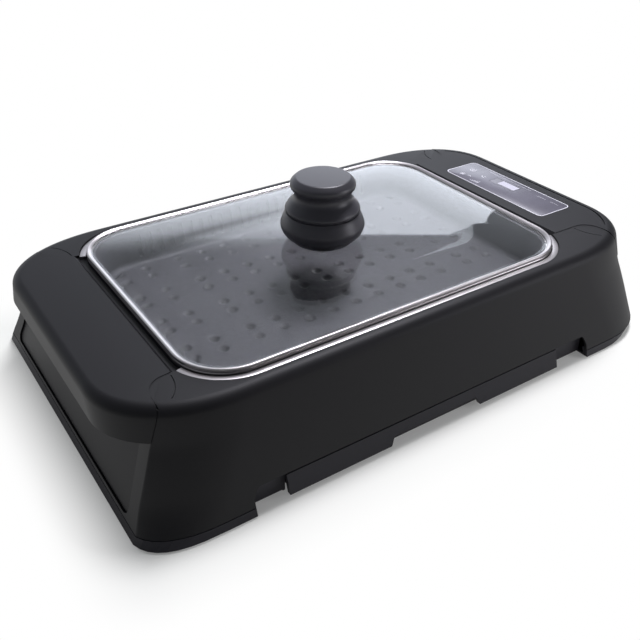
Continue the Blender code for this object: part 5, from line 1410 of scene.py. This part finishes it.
@dataclass
class Knob:
    """Turned knob: bell, grip with a waist and a flat cap, seal, washer and screw."""

    finishes: Finishes
    steps: int = 96
    cross: tuple = (3.2 * MM, 0.5 * MM)

    def turn(self, profile: np.ndarray, hollow: bool = False) -> Shell:
        """Return a profile turned about the knob's axis; a hollow one closes on itself."""
        return grid_shell(turned(profile, self.steps, (LID.middle, 0.0)), close_rows=hollow)

    def bell(self) -> None:
        """Turn the bell: a sloping shoulder under the groove, a rounded ridge, and a tapering foot."""
        corners = [(3.0, 118.6), (23.0, 118.6), (23.0, 104.5), (28.5, 104.5), (36.5, 111.5), (38.5, 119.0)]
        corners += [(35.2, 127.6), (33.3, 130.6), (3.0, 130.6)]
        profile = softened(corners, [0.0, 0.0, 0.0, 1.2, 5.0, 2.2, 3.0, 0.4, 0.0], 6) * MM
        piece = put("bell", self.turn(profile, True))
        dress(piece, self.finishes.phenolic, Role.LID, "knob_bell")

    def grip(self) -> None:
        """Turn the grip: a ring over the groove, a waist and a cap, with eased edges and a blind bore."""
        corners = [(3.0, 148.9), (3.0, 130.9), (33.0, 130.9), (34.2, 134.2), (31.0, 138.6), (26.0, 143.5)]
        corners += [(25.4, 150.0), (29.2, 153.6), (29.3, 158.2), (24.4, 162.7), (0.01, 162.7)]
        radii = [0.0, 0.0, 0.5, 2.2, 2.5, 4.0, 3.5, 2.6, 3.0, 1.4, 0.0]
        profile = softened(corners, radii, 6) * MM
        piece = put("grip", self.turn(profile))
        dress(piece, self.finishes.phenolic, Role.LID, "knob_grip")

    def small_pieces(self) -> None:
        """Turn the seal under the bell, the washer under the pane and the screw with its cross recess."""
        seal = np.array([(23.0, 103.1), (27.4, 103.1), (27.7, 103.4), (27.7, 104.0), (27.4, 104.3), (23.0, 104.3)])
        washer = np.array([(3.0, 97.6), (10.7, 97.6), (11.0, 97.9), (11.0, 98.5), (10.7, 98.8), (3.0, 98.8)])
        head = np.array([(0.01, 94.3), (4.6, 94.3), (6.0, 95.6), (6.0, 97.3), (2.5, 97.3), (2.5, 148.5), (0.01, 148.5)])
        made = ((seal, "knob_seal", self.finishes.rubber), (washer, "knob_washer", self.finishes.stainless))
        for profile, node, finish in made:
            dress(put(node + "_turned", self.turn(profile * MM, True)), finish, Role.LID, node)
        piece = put("screw_turned", self.turn(head * MM))
        x, y = self.cross
        arms = [rectangle(-along, along, -across, across) for along, across in ((x, y), (y, x))]
        cut(piece, [prism(arm + (LID.middle, 0.0), 93.0 * MM, 95.6 * MM) for arm in arms])
        dress(piece, self.finishes.stainless, Role.LID, "knob_screw")

    def build(self) -> None:
        """Make every part of the knob."""
        self.bell()
        self.grip()
        self.small_pieces()


@dataclass
class GrillPlate:
    """Cast plate: rim, leaning wall with upright slots, cove, and a quilted floor with dimples."""

    finishes: Finishes
    floor: float = 62.5 * MM
    across: int = 380
    along: int = 250
    half_floor: tuple = (168.5 * MM, 108.3 * MM)
    floor_corner: float = 23.6 * MM
    column_pitch: float = 24.9
    row_pitch: float = 46.4
    pit_depth: float = 1.6 * MM
    pit_reach: float = 3.9 * MM
    sag_depth: float = 0.5 * MM
    sag_reach: float = 8.5 * MM
    # Reach of the painted shade in each dimple
    pit_shade_reach: float = 3.6 * MM
    slots: int = 25
    slot_pitch: float = 10.9
    slot_half: float = 2.4 * MM

    def dimples(self) -> np.ndarray:
        """Return the middles of the dimples, in columns and in pairs of rows.

        Returns:
            Their places about the plate's middle.
        """
        inner = np.arange(-4, 5) * self.column_pitch
        columns = np.concatenate([[-158.5, -133.6], inner, [133.6, 158.5]]) * MM
        rows = (np.arange(-2, 3)[:, None] * self.row_pitch + np.array([-8.1, 8.1])).ravel() * MM
        x, y = np.meshgrid(columns, rows)
        return np.column_stack([x.ravel(), y.ravel()])

    def surface(self, x: np.ndarray, y: np.ndarray) -> np.ndarray:
        """Return the floor's height at points about the plate's middle.

        Each dimple at distance r takes away 1.6 exp(-(r/3.9)^4) + 0.5 exp(-(r/8.5)^2) millimetres.

        Args:
            x: places along the plate.
            y: places across it.

        Returns:
            The heights.
        """
        depth = np.zeros_like(x)
        for middle in self.dimples():
            r2 = (x - middle[0]) ** 2 + (y - middle[1]) ** 2
            pit = self.pit_depth * np.exp(-((r2 / self.pit_reach**2) ** 2))
            depth += pit + self.sag_depth * np.exp(-r2 / self.sag_reach**2)
        return self.floor + 0.05 * MM - depth

    def mark_pit_shade(self, piece: bpy.types.Object) -> None:
        """Write how far each vertex lies in a dimple, exp(-(r/3.6)^4) in millimetres, as the mask by which the coating
        paints shade into the dimples.

        Args:
            piece: the floor.
        """
        places = np.array([vertex.co[:2] for vertex in piece.data.vertices]) - (LID.middle, 0.0)
        share = np.zeros(len(places))
        for middle in self.dimples():
            r2 = ((places - middle) ** 2).sum(axis=1)
            share += np.exp(-((r2 / self.pit_shade_reach**2) ** 2))
        layer = piece.data.attributes.new("pit", "FLOAT", "POINT")
        layer.data.foreach_set("value", np.minimum(share, 1.0))

    def floor_grid(self) -> np.ndarray:
        """Return the floor's grid: unit rows and columns drawn out to the rounded outline of the floor.

        Returns:
            The grid of points.
        """
        (half_x, half_y), radius = self.half_floor, self.floor_corner
        v = np.linspace(-1.0, 1.0, self.along)
        y = half_y * v
        beyond = np.clip(np.abs(y) - (half_y - radius), 0.0, radius)
        width = half_x - radius + np.sqrt(radius**2 - beyond**2)
        x = np.linspace(-1.0, 1.0, self.across)[None, :] * width[:, None]
        y = np.broadcast_to(y[:, None], x.shape)
        return np.stack([x, y, self.surface(x, y)], axis=-1)

    def wall_grid(self) -> np.ndarray:
        """Return the wall's rings: cove, leaning wall, rounded lip, rim, and the outside down to the underside.

        Returns:
            The grid of points.
        """
        turn = np.linspace(0.0, math.pi / 2.0, 9)
        cove = [(-21.8, 60.2)] + [(-21.8 + 6.3 * math.sin(t), 62.5 + 6.0 * (1.0 - math.cos(t))) for t in turn]
        rest = [(-8.6, 92.2), (-8.3, 92.8), (-7.7, 93.0), (-0.4, 93.0), (0.0, 92.6), (0.0, 90.2), (-5.0, 90.2)]
        rest += [(-12.5, 65.5), (-18.5, 59.5)]
        return np.stack([LID.ring(offset * MM, z * MM) for offset, z in cove + rest])

    def build(self) -> None:
        """Make the floor and the wall, then cut the smoke slots through the back wall."""
        grid = self.floor_grid() + (LID.middle, 0.0, 0.0)
        floor = put("plate_floor", grid_shell(grid, close_columns=False, caps=False))
        self.mark_pit_shade(floor)
        dress(floor, self.finishes.coating, Role.PLATE, "grill_plate")
        wall = put("plate_wall", grid_shell(self.wall_grid()), angle=40.0)
        slots = []
        for index in np.arange(self.slots) - self.slots // 2:
            x = LID.middle + index * self.slot_pitch * MM
            box = rectangle(x - self.slot_half, x + self.slot_half, 0.068, 0.089)
            slots.append(along_y(round_corners(box, 2.2 * MM, 6), 106.0 * MM, 129.0 * MM))
        cut(wall, [merged(slots)])
        dress(wall, self.finishes.coating, Role.PLATE)


@dataclass
class ControlPanel:
    """Printed film on the right cover with the display's window and plain marks."""

    finishes: Finishes
    film_foot: float = 95.5 * MM
    film_shoulder: float = 96.0 * MM
    film_top: float = 96.1 * MM
    film_ease: float = 0.15 * MM
    print_top: float = 96.14 * MM
    opening: tuple = (221.48 * MM, 235.08 * MM, -11.3 * MM, 23.3 * MM)
    lit: tuple = (0.2245, 0.2341, -0.0104, 0.0128)

    def film(self) -> None:
        """Make the film with an eased edge, open over the display window."""
        layers = ((0.0, self.film_foot), (0.0, self.film_shoulder), (-self.film_ease, self.film_top))
        piece = put("panel_film", grid_shell(np.stack([lift(film_outline(grow), z) for grow, z in layers])))
        cut(piece, [prism(rectangle(*self.opening), 95.0 * MM, 97.0 * MM)])
        dress(piece, self.finishes.film, Role.BODY, "control_overlay")

    def ribbon(self, outline: np.ndarray, width: float, closed: bool = False) -> Shell:
        """Return a flat printed line: the outline offset to both sides by half the line's width.

        Args:
            outline: the line's middle.
            width: the line's width.
            closed: whether the line closes on itself.

        Returns:
            The line, lying on the film.
        """
        after = np.roll(outline, -1, axis=0) - outline
        before = outline - np.roll(outline, 1, axis=0)
        if not closed:
            after[-1], before[0] = before[-1], after[0]
        way = after / np.linalg.norm(after, axis=1)[:, None] + before / np.linalg.norm(before, axis=1)[:, None]
        way /= np.linalg.norm(way, axis=1)[:, None]
        normal = np.column_stack([-way[:, 1], way[:, 0]]) * width / 2.0
        grid = np.stack([lift(outline - normal, self.print_top), lift(outline + normal, self.print_top)])
        return grid_shell(grid, close_columns=closed, caps=False)

    def stroke(self, *points: tuple[float, float], width: float = 0.7) -> Shell:
        """Return a printed line through points in millimetres."""
        return self.ribbon(np.array(points) * MM, width * MM)

    def snowflake(self, x: float, y: float, reach: float) -> list[Shell]:
        """Return three crossing bars and a small chevron on each of their six ends.

        Args:
            x: middle, in millimetres.
            y: middle, in millimetres.
            reach: length of each arm.

        Returns:
            The printed lines.
        """
        shells = []
        for turn in np.radians((0.0, 60.0, 120.0)):
            way = np.array([math.cos(turn), math.sin(turn)])
            side = np.array([-way[1], way[0]])
            for sign in (-1.0, 1.0):
                tip = np.array([x, y]) + sign * way * reach
                knee = tip - sign * way * 0.9
                shells.append(self.stroke((x, y), tuple(tip)))
                shells.append(self.stroke(tuple(tip + side * 0.8), tuple(knee), tuple(tip - side * 0.8), width=0.45))
        return shells

    def ring_mark(self, x: float, y: float, radius: float, start: float, stop: float, width: float = 0.7) -> Shell:
        """Return a printed arc about a point."""
        return self.ribbon(arc(radius * MM, start, stop, 30, (x * MM, y * MM)), width * MM)

    def bars(self, x: float, y: float) -> list[Shell]:
        """Return five upright bars that grow, the plain sign of a level."""
        places = np.arange(5)
        return [self.stroke((x - 2.4, y + 5.0 - 2.5 * n), (x - 0.9 + n, y + 5.0 - 2.5 * n), width=0.9) for n in places]

    def marks(self) -> list[Shell]:
        """Return every printed mark within the border, in millimetres.

        Returns:
            The frost sign, the low arc, the clock, the timer, the level bars and the thin label lines.
        """
        ring, line = self.ring_mark, self.stroke
        return [
            *self.snowflake(211.5, 53.5, 3.0),
            ring(211.5, 44.5, 2.6, -60.0, 60.0),
            ring(228.0, 54.0, 3.2, 20.0, 330.0, 0.6),
            line((229.4, 52.2), (230.9, 52.5), (231.2, 50.9), width=0.5),
            ring(228.0, 54.0, 1.2, 0.0, 360.0, 0.5),
            ring(226.0, 33.5, 3.2, 90.0, 210.0, 0.6),
            line((226.0, 34.5), (226.0, 31.5), width=0.6),
            *self.bars(208.5, 31.0),
            line((239.6, 40.0), (239.6, -21.0), width=0.3),
            line((236.0, -33.0), (236.0, -45.0), width=0.3),
            line((236.0, -51.0), (236.0, -62.0), width=0.3),
        ]

    def build(self) -> None:
        """Make the film, the lit face of the display and the printed marks."""
        self.film()
        border = self.ribbon(film_outline(-0.6 * MM), 0.9 * MM, closed=True)
        dress(put("border_line", border, level=False), self.finishes.ink, Role.BODY)
        dress(put("printed_marks", merged(self.marks()), level=False), self.finishes.ink, Role.BODY)
        face = round_corners(rectangle(*self.lit), 0.4 * MM, 4)
        lit = Shell(lift(face, self.print_top), [tuple(range(len(face)))])
        dress(put("display_face", lit, level=False), self.finishes.lamp_ink, Role.BODY)


def refine_rest(frame: dict, finishes: Finishes) -> None:
    """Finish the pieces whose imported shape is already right.

    Args:
        finishes: the finishes.
    """
    plain = (
        (finishes.pan, Role.BODY, 0.25 * MM, ("base_pan", "power_inlet")),
        (finishes.pan, Role.TRAY, 0.3 * MM, ("drip_tray",)),
        (finishes.rubber, Role.BODY, 0.3 * MM, ("rubber_foot_1", "rubber_foot_2", "rubber_foot_3", "rubber_foot_4")),
        (finishes.stainless, Role.BODY, 0.1 * MM, ("base_screw_1", "base_screw_2", "base_screw_3", "base_screw_4")),
        (finishes.plated, Role.BODY, 0.1 * MM, ("inlet_pin_1", "inlet_pin_2", "inlet_pin_3", "fan_bearing")),
        (finishes.aluminised, Role.BODY, 0.0, ("heat_shield", "terminal_bracket", "blower_scroll", "blower_tongue")),
        (finishes.aluminised, Role.BODY, 0.0, ("blower_cheek_left", "blower_cheek_right")),
        (finishes.aluminised, Role.BODY, 0.0, ("element_clip_1", "element_clip_2", "element_clip_3")),
        (finishes.sheath, Role.BODY, 0.0, ("heating_element",)),
        (finishes.ceramic, Role.BODY, 0.2 * MM, ("terminal_sleeve_1", "terminal_sleeve_2")),
        (finishes.stainless, Role.BODY, 0.2 * MM, ("temperature_probe", "fan_motor")),
        (finishes.case, Role.BODY, 0.2 * MM, ("thermal_cutout", "filter_capacitor", "power_relay", "transformer")),
        (finishes.board, Role.BODY, 0.0, ("power_board", "touch_board")),
        (finishes.window, Role.BODY, 0.1 * MM, ("display_window",)),
        (finishes.case, Role.BODY, 0.1 * MM, ("display_module",)),
        (finishes.fan_sheet, Role.FAN, 0.0, ("fan_impeller",)),
        (finishes.stainless, Role.FAN, 0.0, ("fan_shaft",)),
    )
    for finish, role, bevel, nodes in plain:
        for node in nodes:
            refine(frame, node, finish, role, bevel)


@dataclass
class Studio:
    """Camera, lamps, backdrop and floor.  Lamps and the camera look against their back vector."""

    focal_length: float = 43.55
    sensor: float = 36.0
    camera_place: tuple = (-0.3671, -0.52352, 0.43005)
    camera_right: tuple = (0.8307, -0.5567, 0.0069)
    camera_back: tuple = (-0.4678, -0.6913, 0.5507)
    lamp_colour: str = "f4f3fc"
    # Each line of the mirrored panel: its slope and its limit
    panel_edges: tuple = ((-0.36, 0.363), (0.884, 1.63), (2.36, 3.31))
    panel_strength: float = 2.6
    sky_colour: str = "eff4ff"
    paper: str = "f9faf1"
    paper_half: float = 6.0
    paper_top: float = -0.0004
    # Half-sides of the box round the grill beyond which the floor turns plain white
    shadow_box: tuple = (0.265, 0.17, 0.0)

    def stand(self, item: bpy.types.Object, place: tuple, right: np.ndarray, back: np.ndarray) -> None:
        """Link an item at a place, turned by two unit vectors.

        Args:
            item: the camera or the lamp.
            place: where it stands.
            right: its right.
            back: the way opposite to its look.
        """
        turn = np.eye(4)
        turn[:3, 0], turn[:3, 1], turn[:3, 2] = right, np.cross(back, right), back
        turn[:3, 3] = place
        item.matrix_world = Matrix(turn.tolist())
        bpy.context.scene.collection.objects.link(item)

    def camera(self) -> None:
        """Set the camera that the photograph was fitted with."""
        lens = bpy.data.cameras.new("camera")
        lens.lens = self.focal_length
        lens.sensor_width = self.sensor
        lens.clip_start = 0.01
        item = bpy.data.objects.new("camera", lens)
        right, back = unit(np.array(self.camera_right)), np.array(self.camera_back)
        self.stand(item, self.camera_place, right, unit(back - right * (right @ back)))
        bpy.context.scene.camera = item

    def lamp(self, name: str, place: tuple, target: tuple, side: float, power: float) -> None:
        """Hang a square softbox.

        Args:
            name: the lamp's name.
            place: where it hangs.
            target: the point that it is aimed at.
            side: length of its sides.
            power: its power in watts.
        """
        light = bpy.data.lights.new(name, "AREA")
        light.shape = "RECTANGLE"
        light.size = light.size_y = side
        light.energy = power
        light.color = linear(self.lamp_colour)[:3]
        back = unit(np.array(place) - np.array(target))
        right = unit(np.cross((0.0, 0.0, 1.0), back))
        self.stand(bpy.data.objects.new(name, light), place, right, back)

    def world(self) -> None:
        """Light the scene from a dim sky, with a bright panel low behind the grill that the glass mirrors.

        With u = x / y and v = z / y of the sky's direction, the panel lies where v + slope * u is under
        each line's limit, and it fades towards its left end.  The camera itself sees plain white.
        """
        world = bpy.data.worlds.new("studio")
        bpy.context.scene.world = world
        world.use_nodes = True
        tree = world.node_tree
        tree.nodes.clear()
        way = add(tree, "SeparateXYZ", {0: add(tree, "TexCoord").outputs["Generated"]}).outputs
        depth = calc(tree, "MAXIMUM", way["Y"], 0.05)
        u, v = (calc(tree, "DIVIDE", way[axis], depth) for axis in "XZ")
        lines = [(calc(tree, "MULTIPLY_ADD", u, slope, v), limit) for slope, limit in self.panel_edges]
        outer = reduce(
            lambda first, second: calc(tree, "MAXIMUM", first, second),
            [calc(tree, "SUBTRACT", line, limit) for line, limit in lines],
        )
        soft = span(tree, u, 0.10, 0.008, 0.55, 0.75)
        window = span(tree, outer, 1.0, 0.0, calc(tree, "MULTIPLY", soft, -1.0), soft, "SMOOTHSTEP")
        back, across = span(tree, way["Y"], 0.0, 1.0, 0.1, 0.5), span(tree, u, 0.35, 1.0, 0.2, 0.6)
        share = calc(tree, "MULTIPLY", calc(tree, "MULTIPLY", window, back), across)
        left, behind = span(tree, way["X"], 0.26, 0.08, -0.9, -0.2), span(tree, way["Y"], 0.08, 0.42, 0.0, 0.5)
        strength = span(tree, share, calc(tree, "MAXIMUM", left, behind), self.panel_strength)
        sky = add(tree, "Background", {"Color": linear(self.sky_colour), "Strength": strength}).outputs[0]
        white = add(tree, "Background", {"Color": linear("ffffff"), "Strength": 1.0}).outputs[0]
        seen = add(tree, "LightPath").outputs["Is Camera Ray"]
        both = add(tree, "MixShader", {0: seen, 1: sky, 2: white}).outputs[0]
        add(tree, "OutputWorld", {"Surface": both})

    def floor(self) -> None:
        """Lay the pale floor: it keeps the shadow close round the grill and is plain white further out."""
        half = self.paper_half
        mesh = bpy.data.meshes.new("floor")
        mesh.from_pydata(lift(rectangle(-half, half, -half, half), self.paper_top).tolist(), [], [(0, 1, 2, 3)])
        item = bpy.data.objects.new("floor", mesh)
        bpy.context.scene.collection.objects.link(item)
        material = bpy.data.materials.new("white_paper_sweep")
        material.use_nodes = True
        tree = material.node_tree
        shader = tree.nodes["Principled BSDF"]
        feed(tree, shader, {"Base Color": linear(self.paper), "Roughness": 0.9, "Specular IOR Level": 0.1})
        right = add(tree, "VectorMath", {0: add(tree, "TexCoord").outputs["Object"]}, operation="ABSOLUTE").outputs[0]
        beyond = add(tree, "VectorMath", {0: right, 1: self.shadow_box}, operation="SUBTRACT").outputs[0]
        beyond = add(tree, "VectorMath", {0: beyond, 1: (0.0, 0.0, 0.0)}, operation="MAXIMUM").outputs[0]
        away = add(tree, "VectorMath", {0: beyond}, operation="LENGTH").outputs["Value"]
        fade = span(tree, away, 0.0, 1.0, -0.02, 0.06, "SMOOTHSTEP")
        path = add(tree, "LightPath").outputs
        seen = calc(tree, "ADD", path["Is Camera Ray"], path["Is Glossy Ray"])
        either = calc(tree, "MAXIMUM", seen, path["Is Transmission Ray"])
        white = add(tree, "Emission", {"Color": linear("ffffff"), "Strength": 1.0}).outputs[0]
        mixed = {0: calc(tree, "MULTIPLY", either, fade), 1: shader.outputs[0], 2: white}
        feed(tree, tree.nodes["Material Output"], {"Surface": add(tree, "MixShader", mixed).outputs[0]})
        mesh.materials.append(material)

    def build(self) -> None:
        """Set up the whole studio: a softbox overhead, and a weak one that lifts the front wall's right end."""
        self.camera()
        self.lamp("overhead", (0.6, 0.36, 1.6), (0.0, 0.0, 0.05), 0.45, 30.0)
        self.lamp("right_front", (0.8, -0.75, 0.35), (0.25, -0.15, 0.05), 0.4, 3.0)
        self.world()
        self.floor()
        bpy.context.scene.view_settings.view_transform = "Standard"


def main() -> None:
    """Build the look of the grill in order."""
    logging.basicConfig(level=logging.INFO, format="%(message)s")
    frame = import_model()
    finishes = Finishes()
    Studio().build()
    Housing(finishes).build()
    for side in Side:
        HandleCover(finishes, side).build()
        EndPanel(finishes, side).build()
    for end in (-1, 1):
        Trim(finishes, end).build()
    ControlPanel(finishes).build()
    Lid(finishes).build()
    Knob(finishes).build()
    GrillPlate(finishes).build()
    refine_rest(frame, finishes)


if __name__ == "__main__":
    main()
